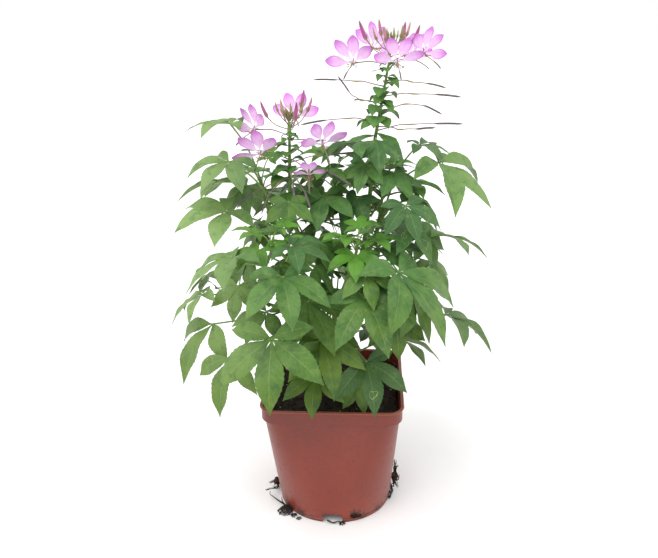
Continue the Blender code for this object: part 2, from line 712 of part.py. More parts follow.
def pod_path(start, out, stalk, rise, thin, pod, droop):
    """A spent flower: its stalk, the thin carrier beyond the node, and the pod at its end."""
    node = start + out * stalk + UP * rise
    carrier_end = node + out * thin - UP * thin * droop * 0.45
    tip = carrier_end + (out * math.cos(droop) - UP * math.sin(droop)) * pod
    sag = UP * 0.0008
    return [start + (node - start) * 0.3 + sag, start + (node - start) * 0.75 + sag * 2, node,
            node + (carrier_end - node) * 0.5 + sag, carrier_end + sag,
            carrier_end + (tip - carrier_end) * 0.5 + sag, tip]


def bract_path(start, out, length, rise):
    return [start + out * length * t + UP * (rise * t - length * 0.2 * t * t)
            for t in (0.12, 0.42, 0.72, 1.0)]


def axis_rings(solid, head, shares, radius, sides=STEM_SIDES):
    rings = []
    across = head.axis.cross(Vector((0, 1, 0))).normalized()
    level = head.axis.cross(across)
    for i, share in enumerate(shares):
        size = radius * (1 - 0.35 * i / len(shares))
        rings.append(solid.add([
            head.at(share) + (across * math.cos(turn) + level * math.sin(turn)) * size
            for turn in (2 * math.pi * k / sides for k in range(sides))]))
    for lower, upper in zip(rings, rings[1:]):
        solid.bridge(lower, upper)
    solid.cap(rings[0][::-1])
    solid.cap(rings[-1])
    return rings


def room_for(head):
    """A prism that keeps young leaves off the line where a flower head will stand."""
    room = Solid()
    axis_rings(room, head, (0.0, 0.5, 1.0), head.radius * 2.5)
    return room


def raceme_solid(name, crowd, head, pods, bracts):
    made = Solid()
    places = sorted([(row[0], "pod", row) for row in pods] + [(row[0], "bract", row) for row in bracts],
                    key=lambda place: place[0])
    half = 0.0010 / head.length
    shares = [0.0]
    for share, _, _ in places:
        low = max(share - half, shares[-1] + half * 0.4)
        shares += [low, low + half * 2]
    shares.append(1.0)
    rings = axis_rings(made, head, shares, head.radius)
    for i, (_, kind, row) in enumerate(places):
        face, centre = side_face(made, rings[1 + 2 * i], rings[2 + 2 * i], heading_vector(row[1]))

        def grow(turn, lean, stretch):
            out = heading_vector(row[1] + turn * 1.5)
            start = centre + out * head.radius
            if kind == "pod":
                _, _, stalk, rise, thin, pod, droop = row
                path = pod_path(start, out, stalk * MM, (rise + lean * 0.3) * MM, thin * MM,
                                pod * MM, droop + stretch * 0.02)
                thick, node, grain = FLOWER_STALK, FLOWER_STALK * 1.9, POD_THICKNESS
                sizes = [(thick, thick), (thick, thick), (node, node), (thick, thick),
                         (thick, thick), (grain, grain)]
            else:
                _, _, length, rise = row
                path = bract_path(start, out, length * MM, (rise + lean * 0.3) * MM)
                sizes = [(0.0016, 0.0009), (length * MM * 0.50, BLADE_THICKNESS),
                         (length * MM * 0.40, BLADE_THICKNESS)]
            made.limb(face, path, sizes, UP)

        crowd.settle_limb(f"{name} {kind} {row}", made, face, grow)
    crowd.add(made)
    return made


BUDS = {
    # name: cluster height, number of buds, first heading
    "left": (0.018, 12, 285),
    "right": (0.022, 14, 60),
}


def bud_cluster_solid(head, height, count, first):
    """The top of the raceme: upright buds in a spiral, the oldest lowest and largest."""
    made = Solid()
    top = Head.__new__(Head)
    top.base = head.at(1.0) + head.axis * GAP
    top.axis, top.length, top.radius = head.axis, height, head.radius * 0.65
    shares = [0.0]
    for i in range(count):
        shares += [0.06 + 0.88 * i / count, 0.06 + 0.88 * (i + 0.8) / count]
    shares.append(1.0)
    rings = axis_rings(made, top, shares, top.radius)
    for i in range(count):
        age = 1 - i / count
        out = heading_vector(first + GOLDEN_ANGLE * i)
        face, centre = side_face(made, rings[1 + 2 * i], rings[2 + 2 * i], out)
        size = 0.45 + 0.55 * age
        spread = 0.35 + 0.55 * age
        way = (out * spread + UP * (1.15 - 0.35 * age)).normalized()
        foot = centre + out * top.radius + way * 0.010 * (0.4 + age)
        bend = out * 0.0012
        path = [centre + out * top.radius * 1.2 + way * 0.003, foot - bend * 0.5, foot + way * BUD_LENGTH * size * 0.3,
                foot + way * BUD_LENGTH * size * 0.7 + bend * 0.3,
                foot + way * BUD_LENGTH * size - bend * 0.2]
        stalk = (FLOWER_STALK * 0.8, FLOWER_STALK * 0.8)
        wide = (BUD_WIDTH * size, BUD_WIDTH * size)
        made.limb(face, path, [stalk, stalk, wide, wide], out)
    return made


FLOWERS = {
    # raceme: share, stalk heading, facing, stalk mm, rise mm, petal share, lean, turn of the fan
    "right": [(0.98, 282, 274, 20, 2, 1.0, 24, 0), (0.96, 192, 246, 26, 2, 1.0, 16, 15),
              (1.0, 112, 120, 27, 8, 0.95, 8, 20), (1.0, 352, 308, 24, 6, 0.95, 16, -28),
              (0.92, 42, 30, 24, 6, 0.95, 20, 0)],
    "left": [(0.86, 216, 258, 24, -6, 1.05, 28, 24), (0.98, 176, 222, 25, 4, 0.95, 10, 18),
             (0.90, 336, 286, 26, -2, 1.0, 24, 6), (1.02, 80, 84, 20, 8, 0.95, 10, 0),
             (0.60, 306, 270, 22, -12, 0.70, 30, 0)],
}


def flower_solid(start, out, facing, stalk, rise, petal, lean, turn, extra=0.0):
    """An open flower: four petals that stand up like a fan, with the young pod in front."""
    made = Solid()
    heart = start + out * stalk + UP * rise
    across = facing.cross(UP)
    low, high, faces = made.hub(heart, facing, UP, PETAL_ANGLES, 0.0014, 0.0022 + extra)
    for angle, face in zip(PETAL_ANGLES, faces):
        spin = math.radians(angle + turn)
        flat = UP * math.cos(spin) + across * math.sin(spin)
        tip_lean = math.radians(lean)
        way = flat * math.cos(tip_lean) + facing * math.sin(tip_lean)
        normal = (facing * math.cos(tip_lean) - flat * math.sin(tip_lean)).normalized()
        length = petal * PETAL_LENGTH
        path = [heart + way * length * t - normal * length * 0.14 * t * (1 - t) * 2
                for t in (0.26, 0.55, 0.82, 1.0)]
        width = PETAL_WIDTH * petal
        thickness = PETAL_THICKNESS + extra
        sizes = [(0.0012 + extra, 0.0008), (width * 0.8, thickness), (width, thickness)]
        made.limb(face, path, sizes, normal)
    thin = FLOWER_STALK + extra
    back = start - heart
    route = [heart - facing * 0.0035 - UP * 0.0004, heart - facing * 0.002 + back * 0.5 + UP * 0.0016, start]
    made.limb(low, route, [(thin, thin), (thin, thin)], across)
    ahead = (facing - UP * 0.55).normalized()
    pod = [heart + ahead * 0.004, heart + ahead * 0.010 + UP * 0.0006,
           heart + ahead * 0.016 + UP * 0.0008, heart + ahead * 0.021]
    slim = (thin * 0.7, thin * 0.7)
    made.limb(high, pod, [slim, slim, (thin, thin)], across)
    return made


def place_flower(name, crowd, head, row):
    share, heading, facing, stalk, rise, petal, lean, turn = row
    out = heading_vector(heading)
    start = head.at(share) + out * (head.radius + GAP * 2)

    def make(swing, tip, stretch, extra):
        outward = heading_vector(heading + swing)
        return flower_solid(start, outward, heading_vector(facing + swing), stalk * MM * (1 + stretch * 0.01),
                            (rise + tip * 0.4) * MM, petal, lean + tip * 0.5, turn, extra)

    return crowd.settle(name, make)


# ---- roots at the drain notches ----------------------------------------------------------------

ROOT_TUFTS = {
    # side: heading, the lump's height and how far it stands off the wall in mm, and the strands as
    # (first way, slide, reach, rise) in mm
    "left": (180, 4.5, 4.229126, [(0, 4, 6, 8), (62, 9, 11, 6), (-62, -10, 12, 13)]),
    "right": (0, 13.0, 3.717476, [(0, -2, 0, 19), (62, 7, 3, -6), (-62, -6, 4, 9)]),
}


def root_tuft_solid(heading, height, off, strands):
    """A lump of roots and soil pushed out of a drain notch, with a few strands."""
    made = Solid()
    out = heading_vector(heading + POT_TURN)
    side = UP.cross(out)
    base = out * (wall_half(height * MM) + off * MM) + UP * height * MM
    low, high, faces = made.hub(base, out, UP, (0, 62, -62, 124, -124, 180), 0.0036, 0.0044)
    made.cap(low)
    made.cap(high)
    for (way, slide, reach, rise), face in zip(strands, faces):
        turn = math.radians(way)
        first = UP * math.cos(turn) + out.cross(UP) * math.sin(turn)
        start = base + first * 0.0044
        end = base + out * reach * MM + out.cross(UP) * slide * MM + UP * rise * MM
        bow = first * 0.002
        path = [start, start + (end - start) * 0.5 + bow, end]
        made.limb(face, path, [(0.0024, 0.0022), (0.0014, 0.0013)], out)
    for face in faces[3:]:
        made.cap(face)
    return made


# ---- the whole plant ---------------------------------------------------------------------------

def clear_scene():
    for obj in list(bpy.data.objects):
        bpy.data.objects.remove(obj)


def main():
    clear_scene()
    terracotta = make_material("terracotta_plastic", (0.36, 0.085, 0.052), 0.42)
    earth = make_material("potting_soil", (0.022, 0.015, 0.010), 0.95)
    root = make_material("root", (0.10, 0.060, 0.032), 0.9)
    stalk = make_material("stem", (0.16, 0.25, 0.05), 0.55)
    leaf = make_material("leaf", (0.075, 0.20, 0.035), 0.5)
    petal = make_material("petal", (0.74, 0.30, 0.80), 0.5)
    bud = make_material("bud", (0.38, 0.13, 0.26), 0.55)

    stems = make_stems()
    crowd = Crowd()
    make_pot(terracotta)
    make_soil(earth, [stems["main_stem"]])
    for side, tuft in ROOT_TUFTS.items():
        root_tuft_solid(*tuft).build(f"root_tuft_{side}", root)

    for name in ("main_stem", "right_stem"):
        solid = stems[name].solid()
        crowd.add(solid)
        solid.build(name, stalk)
    heads = {side: Head(stems[row[0]], row[1], Vector((*row[2], 0.0))) for side, row in RACEMES.items()}
    placed = len(crowd.trees)
    for head in heads.values():
        crowd.add(room_for(head))
    bare = {name: stems[name].solid() for name in YOUNG_LEAVES}
    for name, young in YOUNG_LEAVES.items():
        start = len(crowd.trees)
        for other in bare:
            if other != name:
                crowd.add(bare[other])
        shoot = shoot_solid(crowd, stems[name], *young)
        del crowd.trees[start:-1]
        shoot.build(name, stalk)
    del crowd.trees[placed:placed + len(heads)]

    for side, head in heads.items():
        cluster = bud_cluster_solid(head, *BUDS[side])
        crowd.add(cluster)
        cluster.build(f"{side}_bud_cluster", bud)
    for side, head in heads.items():
        name = f"{side}_raceme"
        raceme_solid(name, crowd, head, *RACEMES[side][3:]).build(name, stalk)
    for side, head in heads.items():
        for number, row in enumerate(FLOWERS[side], 1):
            name = f"{side}_flower_{number}"
            place_flower(name, crowd, head, row).build(name, petal)
    for number, row in enumerate(LEAVES, 1):
        name = f"leaf_{number:02d}"
        place_leaf(name, crowd, stems, row).build(name, leaf)


main()
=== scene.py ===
import json
import math
import random
from collections import namedtuple

import bmesh
import bpy
from mathutils import Matrix, Vector, noise
from mathutils.bvhtree import BVHTree

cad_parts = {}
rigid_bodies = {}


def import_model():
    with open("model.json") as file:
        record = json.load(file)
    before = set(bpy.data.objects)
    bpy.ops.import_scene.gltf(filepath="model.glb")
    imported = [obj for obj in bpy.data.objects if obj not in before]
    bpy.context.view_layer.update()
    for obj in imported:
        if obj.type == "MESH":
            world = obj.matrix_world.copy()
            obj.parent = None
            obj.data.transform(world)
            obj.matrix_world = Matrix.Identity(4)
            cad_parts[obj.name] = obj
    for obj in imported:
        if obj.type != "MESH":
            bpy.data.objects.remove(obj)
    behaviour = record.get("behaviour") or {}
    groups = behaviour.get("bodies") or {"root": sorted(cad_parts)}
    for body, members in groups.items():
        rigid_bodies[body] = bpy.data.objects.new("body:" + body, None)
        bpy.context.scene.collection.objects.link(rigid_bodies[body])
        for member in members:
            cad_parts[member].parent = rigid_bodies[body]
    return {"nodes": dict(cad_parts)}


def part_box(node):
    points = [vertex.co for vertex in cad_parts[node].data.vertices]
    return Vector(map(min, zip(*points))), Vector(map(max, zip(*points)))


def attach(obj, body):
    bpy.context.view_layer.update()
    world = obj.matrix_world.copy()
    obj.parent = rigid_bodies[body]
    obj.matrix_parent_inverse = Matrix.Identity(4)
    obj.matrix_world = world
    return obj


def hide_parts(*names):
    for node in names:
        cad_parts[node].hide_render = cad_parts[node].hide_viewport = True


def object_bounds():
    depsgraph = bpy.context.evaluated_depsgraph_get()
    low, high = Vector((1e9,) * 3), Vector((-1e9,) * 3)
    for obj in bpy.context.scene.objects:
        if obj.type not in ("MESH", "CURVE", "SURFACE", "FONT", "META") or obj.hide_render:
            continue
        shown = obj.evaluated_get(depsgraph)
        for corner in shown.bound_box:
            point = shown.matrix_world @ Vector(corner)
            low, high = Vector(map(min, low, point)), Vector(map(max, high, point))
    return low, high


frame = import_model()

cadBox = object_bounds()
cadNodes = frame["nodes"]
up = Vector((0, 0, 1))
mm = 0.001
goldenAngle = 137.5  # degrees from each leaf on a stem to the next
print("frame loaded:", len(cadNodes), "nodes")


def rgb(red, green, blue):  # screen values 0 to 255 to the linear colour that a shader takes
    def linear(level):
        level /= 255
        return level / 12.92 if level <= 0.04045 else ((level + 0.055) / 1.055) ** 2.4
    return (linear(red), linear(green), linear(blue), 1.0)


def blend(low, high, amount):
    return low + (high - low) * amount


def middle(points):
    return sum(points, Vector()) / len(points)


def clamped(point, low, high, margin=0.0):
    return Vector([min(max(point[i], low[i] + margin), high[i] - margin) for i in range(3)])


def curveOf(stops, place):  # reads a list of (place, value) stops, straight between them
    for (a, first), (b, second) in zip(stops, stops[1:]):
        if place <= b:
            return blend(first, second, (place - a) / (b - a))
    return stops[-1][1]


class Wire:
    def __init__(self, finish, socket):
        self.finish = finish
        self.socket = socket

    def does(self, operation, first, second=0.0):
        return self.finish.value("ShaderNodeMath", {"operation": operation}, {0: first, 1: second})

    def __add__(self, other):
        return self.does("ADD", self, other)

    def __sub__(self, other):
        return self.does("SUBTRACT", self, other)

    def __rsub__(self, other):
        return self.does("SUBTRACT", other, self)

    def __mul__(self, other):
        return self.does("MULTIPLY", self, other)

    def __truediv__(self, other):
        return self.does("DIVIDE", self, other)

    __radd__ = __add__
    __rmul__ = __mul__

    def distance(self, other):
        return self.does("ABSOLUTE", self - other)

    def fraction(self):
        return self.does("FRACT", self)

    def greater(self, other):
        return self.does("MAXIMUM", self, other)

    def rise(self, low, high):  # 0 up to low, 1 from high, smooth between
        return self.finish.value("ShaderNodeMapRange", {"interpolation_type": "SMOOTHSTEP"},
                                 {"Value": self, "From Min": low, "From Max": high})


class Finish:
    def __init__(self, name, **constants):
        self.material = bpy.data.materials.new(name)
        self.material.use_nodes = True
        self.tree = self.material.node_tree
        self.shader = self.tree.nodes["Principled BSDF"]
        for socket, value in constants.items():
            self.shader.inputs[socket.replace("_", " ")].default_value = value
        coordinates = self.tree.nodes.new("ShaderNodeTexCoord")
        self.place = Wire(self, coordinates.outputs["Object"])

    def join(self, source, target):
        if isinstance(source, Wire):
            self.tree.links.new(source.socket, target)
        else:
            target.default_value = source

    def node(self, kind, settings=None, sockets=None):
        made = self.tree.nodes.new(kind)
        for key, value in (settings or {}).items():
            setattr(made, key, value)
        for key, value in (sockets or {}).items():
            self.join(value, made.inputs[key])
        return made

    def value(self, kind, settings=None, sockets=None, output=0):
        return Wire(self, self.node(kind, settings, sockets).outputs[output])

    def mix(self, first, second, amount):  # of colours
        return self.value("ShaderNodeMix", {"data_type": "RGBA", "clamp_factor": True},
                          {0: amount, 6: first, 7: second}, 2)

    def coats(self, colour, look, *layers):  # each layer: the name of a colour and how much of it shows
        for name, amount in layers:
            colour = self.mix(colour, look[name], amount)
        return colour

    def scaled(self, vector, scale):
        return self.value("ShaderNodeVectorMath", {"operation": "MULTIPLY"}, {0: vector, 1: scale})

    def cloud(self, scale, detail=3.0, rough=0.55, where=None, warp=0.0):
        return self.value("ShaderNodeTexNoise", {}, {
            "Vector": where or self.place, "Scale": scale, "Detail": detail,
            "Roughness": rough, "Distortion": warp})

    def split(self, vector):
        made = self.node("ShaderNodeSeparateXYZ", {}, {0: vector})
        return [Wire(self, socket) for socket in made.outputs]

    def plane(self, x, y):
        return self.value("ShaderNodeCombineXYZ", {}, {0: x, 1: y})

    def apart(self, centre):  # how far each point is from a place
        return self.value("ShaderNodeVectorMath", {"operation": "DISTANCE"},
                          {0: self.place, 1: Vector(centre)}, 1)

    def across(self):  # the piece's own map: u across, v along
        return self.split(self.value("ShaderNodeUVMap", {"uv_map": "along"}))[:2]

    def vary(self):  # one number for each leaf
        return self.value("ShaderNodeAttribute", {"attribute_name": "vary"}, {}, "Fac")

    def tone(self):  # what the mesh says of each point
        made = self.node("ShaderNodeAttribute", {"attribute_name": "tone"})
        return self.split(Wire(self, made.outputs["Vector"]))

    def show(self, colour, roughness, bumps=()):  # bumps: height, strength, distance
        self.join(colour, self.shader.inputs["Base Color"])
        self.join(roughness, self.shader.inputs["Roughness"])
        last = None
        for height, strength, distance in bumps:
            sockets = {"Height": height, "Strength": strength, "Distance": distance}
            if last:
                sockets["Normal"] = last
            last = self.value("ShaderNodeBump", {}, sockets)
        if last:
            self.join(last, self.shader.inputs["Normal"])
        return self.material


leafLook = {
    "highGreen": rgb(77, 120, 57), "lowGreen": rgb(82, 108, 30), "youngGreen": rgb(84, 138, 40),
    "bloom": rgb(124, 142, 86),
    "shade": rgb(38, 74, 36), "vein": rgb(128, 156, 84), "under": rgb(112, 142, 96),
    "deep": rgb(44, 80, 44), "olive": rgb(98, 126, 46), "sunny": rgb(150, 178, 110),
    "stalk": rgb(112, 144, 66), "mine": rgb(160, 176, 112),
    "sideVeins": 10.0, "veinSlant": 2.2, "lowHeight": 0.14, "highHeight": 0.27,
    # leaf-miner trails: leaf, leaflet from the lowest up, share of its length, radius
    "mines": [("leaf_15", 0, 0.62, 0.0042), ("leaf_24", 0, 0.55, 0.0050), ("leaf_24", 2, 0.5, 0.0040)],
}


def leafFinish(mines):
    look = leafLook
    leaf = Finish("greenLeaf", Roughness=0.5, Specular_IOR_Level=0.3)
    u, v = leaf.across()
    young, stalk, under = leaf.tone()
    x, _, height = leaf.split(leaf.place)
    side = u.distance(0.5) * 2
    midrib = 1 - side.rise(0.01, 0.07)
    slant = v * look["sideVeins"] - side * look["veinSlant"]
    veins = (1 - slant.fraction().distance(0.5).rise(0.02, 0.12)) * (1 - side.rise(0.75, 0.98))
    pits = leaf.cloud(900, 2)
    blotch = leaf.cloud(70, 3, 0.6)
    patch = leaf.cloud(22, 2, 0.5)
    green = leaf.mix(look["lowGreen"], look["highGreen"],
                     height.rise(look["lowHeight"], look["highHeight"]) + (patch - 0.5) * 0.7)
    vary = leaf.vary()
    lines = (midrib * 0.34).greater(veins * 0.13)
    green = leaf.coats(
        green, look, ("deep", vary.rise(0.45, 1.0) * 0.7), ("olive", vary.rise(0.45, 0.0) * 0.5),
        ("youngGreen", young), ("shade", blotch.rise(0.42, 0.72) * 0.6), ("vein", lines),
        ("under", under * 0.8))
    for centre, radius in mines:  # the pale trail of a leaf miner
        apart = leaf.apart(centre) / radius
        wander = leaf.cloud(190, 1, 0.5)
        trail = (apart + (wander - 0.5) * 1.5).distance(0.62)
        spot = (1 - trail.rise(0.02, 0.09)) * (1 - apart.rise(1.0, 1.3))
        green = leaf.mix(green, look["mine"], spot * 0.6)
    # painted light: leaves towards the left and right of the plant, the high ones most, are painted lighter
    # with the sunny green, and the undersides a little; bloom is a pale mottling, painted stronger on the high
    # leaves
    outer = x.rise(-0.04, -0.10) + x.rise(0.05, 0.12) * 0.6
    lofty = height.rise(0.13, 0.22)
    mottle = leaf.cloud(130, 4, 0.7)
    green = leaf.coats(
        green, look, ("stalk", stalk), ("sunny", outer * (0.12 + lofty * 0.48) + under * 0.1),
        ("bloom", mottle.rise(0.52, 0.66) * (0.12 + lofty * 0.2)),
        ("deep", mottle.rise(0.48, 0.34) * 0.38 * (1 - young)))
    quilt = (1 - lines) * (1 - stalk)
    return leaf.show(green, 0.44 + pits * 0.16, [(quilt, 0.5, 0.0004), (pits, 0.25, 0.0001)])


class Shape:  # gathers points and faces of one piece, with the map and tone of each point
    def __init__(self):
        self.points = []
        self.faces = []
        self.maps = []
        self.tones = []
        self.varies = []
        self.vary = 0.5

    def ring(self, points, maps=None, tones=None):
        first, count = len(self.points), len(points)
        self.points += points
        self.maps += maps or [(0, 0)] * count
        self.tones += tones or [(0, 0, 0)] * count
        self.varies += [self.vary] * count
        return list(range(first, first + count))

    def loft(self, rings):
        for low, high in zip(rings, rings[1:]):
            count = len(low)
            for i in range(count):
                j = (i + 1) % count
                self.faces.append((low[i], low[j], high[j], high[i]))
        self.faces += [tuple(reversed(rings[0])), tuple(rings[-1])]

    def build(self, name, *materials):
        mesh = bpy.data.meshes.new(name)
        mesh.from_pydata(self.points, [], self.faces)
        mapped = mesh.uv_layers.new(name="along")
        for loop in mesh.loops:
            mapped.data[loop.index].uv = self.maps[loop.vertex_index]
        tone = mesh.attributes.new("tone", "FLOAT_VECTOR", "POINT")
        tone.data.foreach_set("vector", [part for one in self.tones for part in one])
        mesh.attributes.new("vary", "FLOAT", "POINT").data.foreach_set("value", self.varies)
        for material in materials:
            mesh.materials.append(material)
        mesh.set_sharp_from_angle(angle=math.radians(70))
        return addPiece(name, mesh)


def addPiece(name, mesh, flat=False):
    if flat or not mesh.attributes.get("sharp_edge"):
        mesh.polygons.foreach_set("use_smooth", [not flat] * len(mesh.polygons))
    piece = bpy.data.objects.new(name, mesh)
    bpy.context.scene.collection.objects.link(piece)
    return piece


def claim(piece, slot, *replaced):  # every piece rides on the one body
    for v in piece.data.vertices:  # nothing stands out of the solid model's box
        v.co = clamped(v.co, *cadBox)
    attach(piece, "root")
    if replaced:
        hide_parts(*replaced)
    return piece


def smoothPath(points, count):  # count + 1 evenly spaced places on a curve through the points
    fine = []
    last = len(points) - 1
    for i in range(last):
        a, b, c, d = (points[max(i - 1, 0)], points[i], points[i + 1], points[min(i + 2, last)])
        for k in range(12):
            t = k / 12
            fine.append(0.5 * (2 * b + (c - a) * t + (2 * a - 5 * b + 4 * c - d) * t * t
                               + (3 * b - a - 3 * c + d) * t * t * t))
    fine.append(points[-1])
    lengths = [0.0]
    for a, b in zip(fine, fine[1:]):
        lengths.append(lengths[-1] + (b - a).length)
    places = []
    k = 0
    for i in range(count + 1):
        want = lengths[-1] * i / count
        while k < len(fine) - 2 and lengths[k + 1] < want:
            k += 1
        span = lengths[k + 1] - lengths[k] or 1.0
        places.append(fine[k].lerp(fine[k + 1], min(1.0, (want - lengths[k]) / span)))
    return places, lengths[-1]


def directions(places):
    last = len(places) - 1
    return [(places[min(i + 1, last)] - places[max(i - 1, 0)]).normalized() for i in range(last + 1)]


def evenTone(*tone):
    return [(0, tone), (1, tone)]


plainTone = evenTone(0, 0, 0)


def addTube(shape, points, radii, tones, sides=8, count=16):
    # radii and tones are lists of (place, value) stops along the tube
    places, _ = smoothPath(points, count)
    ways = directions(places)
    side = ways[0].orthogonal().normalized()
    rings = []
    for i, (place, way) in enumerate(zip(places, ways)):
        side = (side - way * side.dot(way)).normalized()
        level = way.cross(side)
        t = i / count
        radius = curveOf(radii, t)
        turns = [2 * math.pi * k / sides for k in range(sides)]
        ring = [place + (side * math.cos(turn) + level * math.sin(turn)) * radius for turn in turns]
        tone = tuple(curveOf([(p, value[part]) for p, value in tones], t) for part in range(3))
        rings.append(shape.ring(ring, [(abs(2 * k / sides - 1), t) for k in range(sides)], [tone] * sides))
    shape.loft(rings)


class Limb:
    def __init__(self, rings):  # from its root to its tip
        self.root = rings[0]
        self.verts = {v for ring in rings[1:] for v in ring}
        self.centres = [middle([v.co for v in ring]) for ring in rings]
        self.width = max(self.widthOf(ring) for ring in rings[1:])

    def widthOf(self, ring):  # the longer side of its four corners
        if len(ring) < 4:
            return 0.0
        return sorted((v.co - ring[0].co).length for v in ring[1:])[1]


def welded(name):
    mesh = bmesh.new()
    mesh.from_mesh(cadNodes[name].data)
    bmesh.ops.remove_doubles(mesh, verts=mesh.verts, dist=1e-6)
    return mesh


def beyond(ring, seen):
    return {edge.other_vert(v) for v in ring for edge in v.link_edges} - seen


def limbsOf(mesh):  # walks from each pointed tip to the face that the limb grows from
    found = []
    for tip in mesh.verts:
        ring = [edge.other_vert(tip) for edge in tip.link_edges]
        if len(ring) != 4 or any(len(v.link_edges) != 5 for v in ring):
            continue
        rings, seen = [[tip]], {tip}
        while True:
            rings.append(list(ring))
            seen |= set(ring)
            if any(len(v.link_edges) > 6 for v in ring):
                break
            ring = beyond(ring, seen)
            if len(ring) != 4:
                break
        if len(rings) > 2:
            found.append(Limb(rings[::-1]))
    return found


def bunches(limbs):  # limbs whose roots share corners belong to one leaf
    groups = []
    for limb in limbs:
        touching = [g for g in groups if any(set(limb.root) & set(other.root) for other in g)]
        merged = [limb] + [other for g in touching for other in g]
        groups = [g for g in groups if g not in touching] + [merged]
    return groups


def stalkOf(hub, leaflets):  # from a young leaf's hub back to its shoot, and the points passed
    seen = set(hub) | {v for limb in leaflets for v in limb.verts}
    path = []
    ring = beyond(hub, seen)
    while len(ring) == 4:
        path.append(middle([v.co for v in ring]))
        if any(len(v.link_edges) > 6 for v in ring):
            break
        seen |= ring
        ring = beyond(ring, seen)
    return path, seen


def axisTube(mesh, gone):  # what is left of a stem when its limbs are taken off, closed again
    bmesh.ops.delete(mesh, geom=[v for v in mesh.verts if v in gone], context="VERTS")
    bmesh.ops.holes_fill(mesh, edges=[e for e in mesh.edges if e.is_boundary], sides=0)
    bmesh.ops.recalc_face_normals(mesh, faces=mesh.faces)
    bmesh.ops.join_triangles(mesh, faces=mesh.faces, angle_face_threshold=0.7,
                             angle_shape_threshold=2.0)
    crease = mesh.edges.layers.float.new("crease_edge")
    rims = [e for e in mesh.edges if len(e.link_faces) == 2 and e.calc_face_angle() > 1.25]
    rimVerts = {v for e in rims for v in e.verts}
    for edge in rims:
        edge[crease] = 1.0
    pushes = {}
    for face in mesh.faces:  # the flat ends reach into the next piece, so that no gap shows
        if all(v in rimVerts for v in face.verts):
            for v in face.verts:
                pushes[v] = face.normal * stemLook["endReach"]
    for v, push in pushes.items():
        v.co += push
    data = bpy.data.meshes.new("axis")
    mesh.to_mesh(data)
    return data


leafShape = {
    "stations": 28, "half": 4, "thickness": 0.00034, "breadth": 1.12, "fold": 0.20, "wave": 0.07,
    "teeth": 0.030, "quilt": 0.022, "youngStations": 14, "youngest": 0.9, "younger": 0.5,
    "youngestReach": 0.030,
    "outline": [(0, 0.07), (0.05, 0.12), (0.12, 0.34), (0.22, 0.64), (0.34, 0.88), (0.46, 1.0),
                (0.58, 0.97), (0.70, 0.80), (0.80, 0.56), (0.88, 0.32), (0.95, 0.12), (1, 0.02)],
}


def addBlade(shape, limb, facing, young, stations, seed, look=leafShape):
    rand = random.Random(seed)
    outline = look["outline"]
    width = limb.width * look["breadth"]
    places, length = smoothPath(limb.centres, stations)
    ways = directions(places)
    phase = rand.uniform(0, 6)
    beat = rand.uniform(1.6, 2.6)
    twist = rand.uniform(-0.25, 0.25)
    fold = look["fold"] * rand.uniform(0.5, 1.4)
    curl = rand.uniform(-0.04, 0.05)
    half = look["half"]
    rings = []
    for i, (place, way) in enumerate(zip(places, ways)):
        t = i / stations
        normal = (facing - way * facing.dot(way)).normalized()
        normal = Matrix.Rotation(twist * (t - 0.3), 3, way) @ normal
        side = way.cross(normal)
        reach = width / 2 * curveOf(outline, t)
        teeth = 1 + look["teeth"] * (1 if i % 2 else -1) * min(1, 8 * t * (1 - t))
        top, low, maps, lowMaps = [], [], [], []
        for k in range(-half, half + 1):
            s = k / half
            edge = teeth if abs(k) == half else 1.0
            lift = fold * abs(s) * reach - curl * length * s * s * math.sin(math.pi * t)
            lift += look["wave"] * reach * s * s * math.sin(phase + t * 6.3 * beat + (2.0 if s > 0 else 0))
            rib = abs(((t * leafLook["sideVeins"] - abs(s) * leafLook["veinSlant"]) % 1) - 0.5) * 2
            lift += look["quilt"] * reach * (1 - rib) * (1 - abs(s)) * min(1, 5 * abs(s))
            point = place + side * s * reach * edge + normal * lift
            top.append(point)
            maps.append(((s + 1) / 2, t))
            if abs(k) < half:
                low.append(point - normal * look["thickness"])
                lowMaps.append(((s + 1) / 2, t))
        tones = [(young, 0.0, 0.0)] * len(top) + [(young, 0.0, 1.0)] * len(low)
        rings.append(shape.ring(top + low[::-1], maps + lowMaps[::-1], tones))
    shape.loft(rings)


def hubOf(leaflets):  # the middle of a CAD leaf's hub, and the way that its upper side looks
    hub = middle([v.co for v in {v for limb in leaflets for v in limb.root}])
    facing = Vector()
    for limb in leaflets:
        for other in leaflets:
            turn = (limb.centres[0] - hub).cross(other.centres[0] - hub)
            facing += turn if turn.z > 0 else -turn
    return hub, facing.normalized() if facing.length else up


def addLeaf(shape, hub, facing, leaflets, stalkPath, young, stations, seed):
    shape.vary = random.Random(seed).random()
    for number, limb in enumerate(leaflets):
        limb.centres[0] = hub.lerp(limb.centres[0], 0.4)
        addBlade(shape, limb, facing, young, stations, seed * 31 + number)
    thick = 0.0009 if young < 0.3 else 0.0006
    radii = [(0, thick * 0.9), (0.1, thick * 0.75), (0.9, thick * 0.95), (1, thick * 1.3)]
    addTube(shape, [hub + facing * 0.0003] + stalkPath, radii, evenTone(young, 1.0, 0.0), 7, 18)


def mineSpot(name, rank, share, radius):  # a place on the leaf's lowest leaflet, or the next ones up
    mesh = welded(name)
    limbs = sorted((limb for limb in limbsOf(mesh) if limb.width > 0.003), key=lambda limb: limb.centres[-1].z)
    places, _ = smoothPath(limbs[rank].centres, 20)
    mesh.free()
    return places[round(20 * share)].copy(), radius


def makeLeaf(name, material, seed):
    mesh = welded(name)
    limbs = limbsOf(mesh)
    stalk = min(limbs, key=lambda limb: limb.width)
    leaflets = [limb for limb in limbs if limb is not stalk]
    shape = Shape()
    root = stalk.centres[-1]
    inward = (stalk.centres[-1] - stalk.centres[-2]).normalized() * 0.0016
    addLeaf(shape, *hubOf(leaflets), leaflets, stalk.centres[1:] + [root + inward], 0.0,
            leafShape["stations"], seed)
    mesh.free()
    return claim(shape.build(name + "Blade", material), "leaf", name)


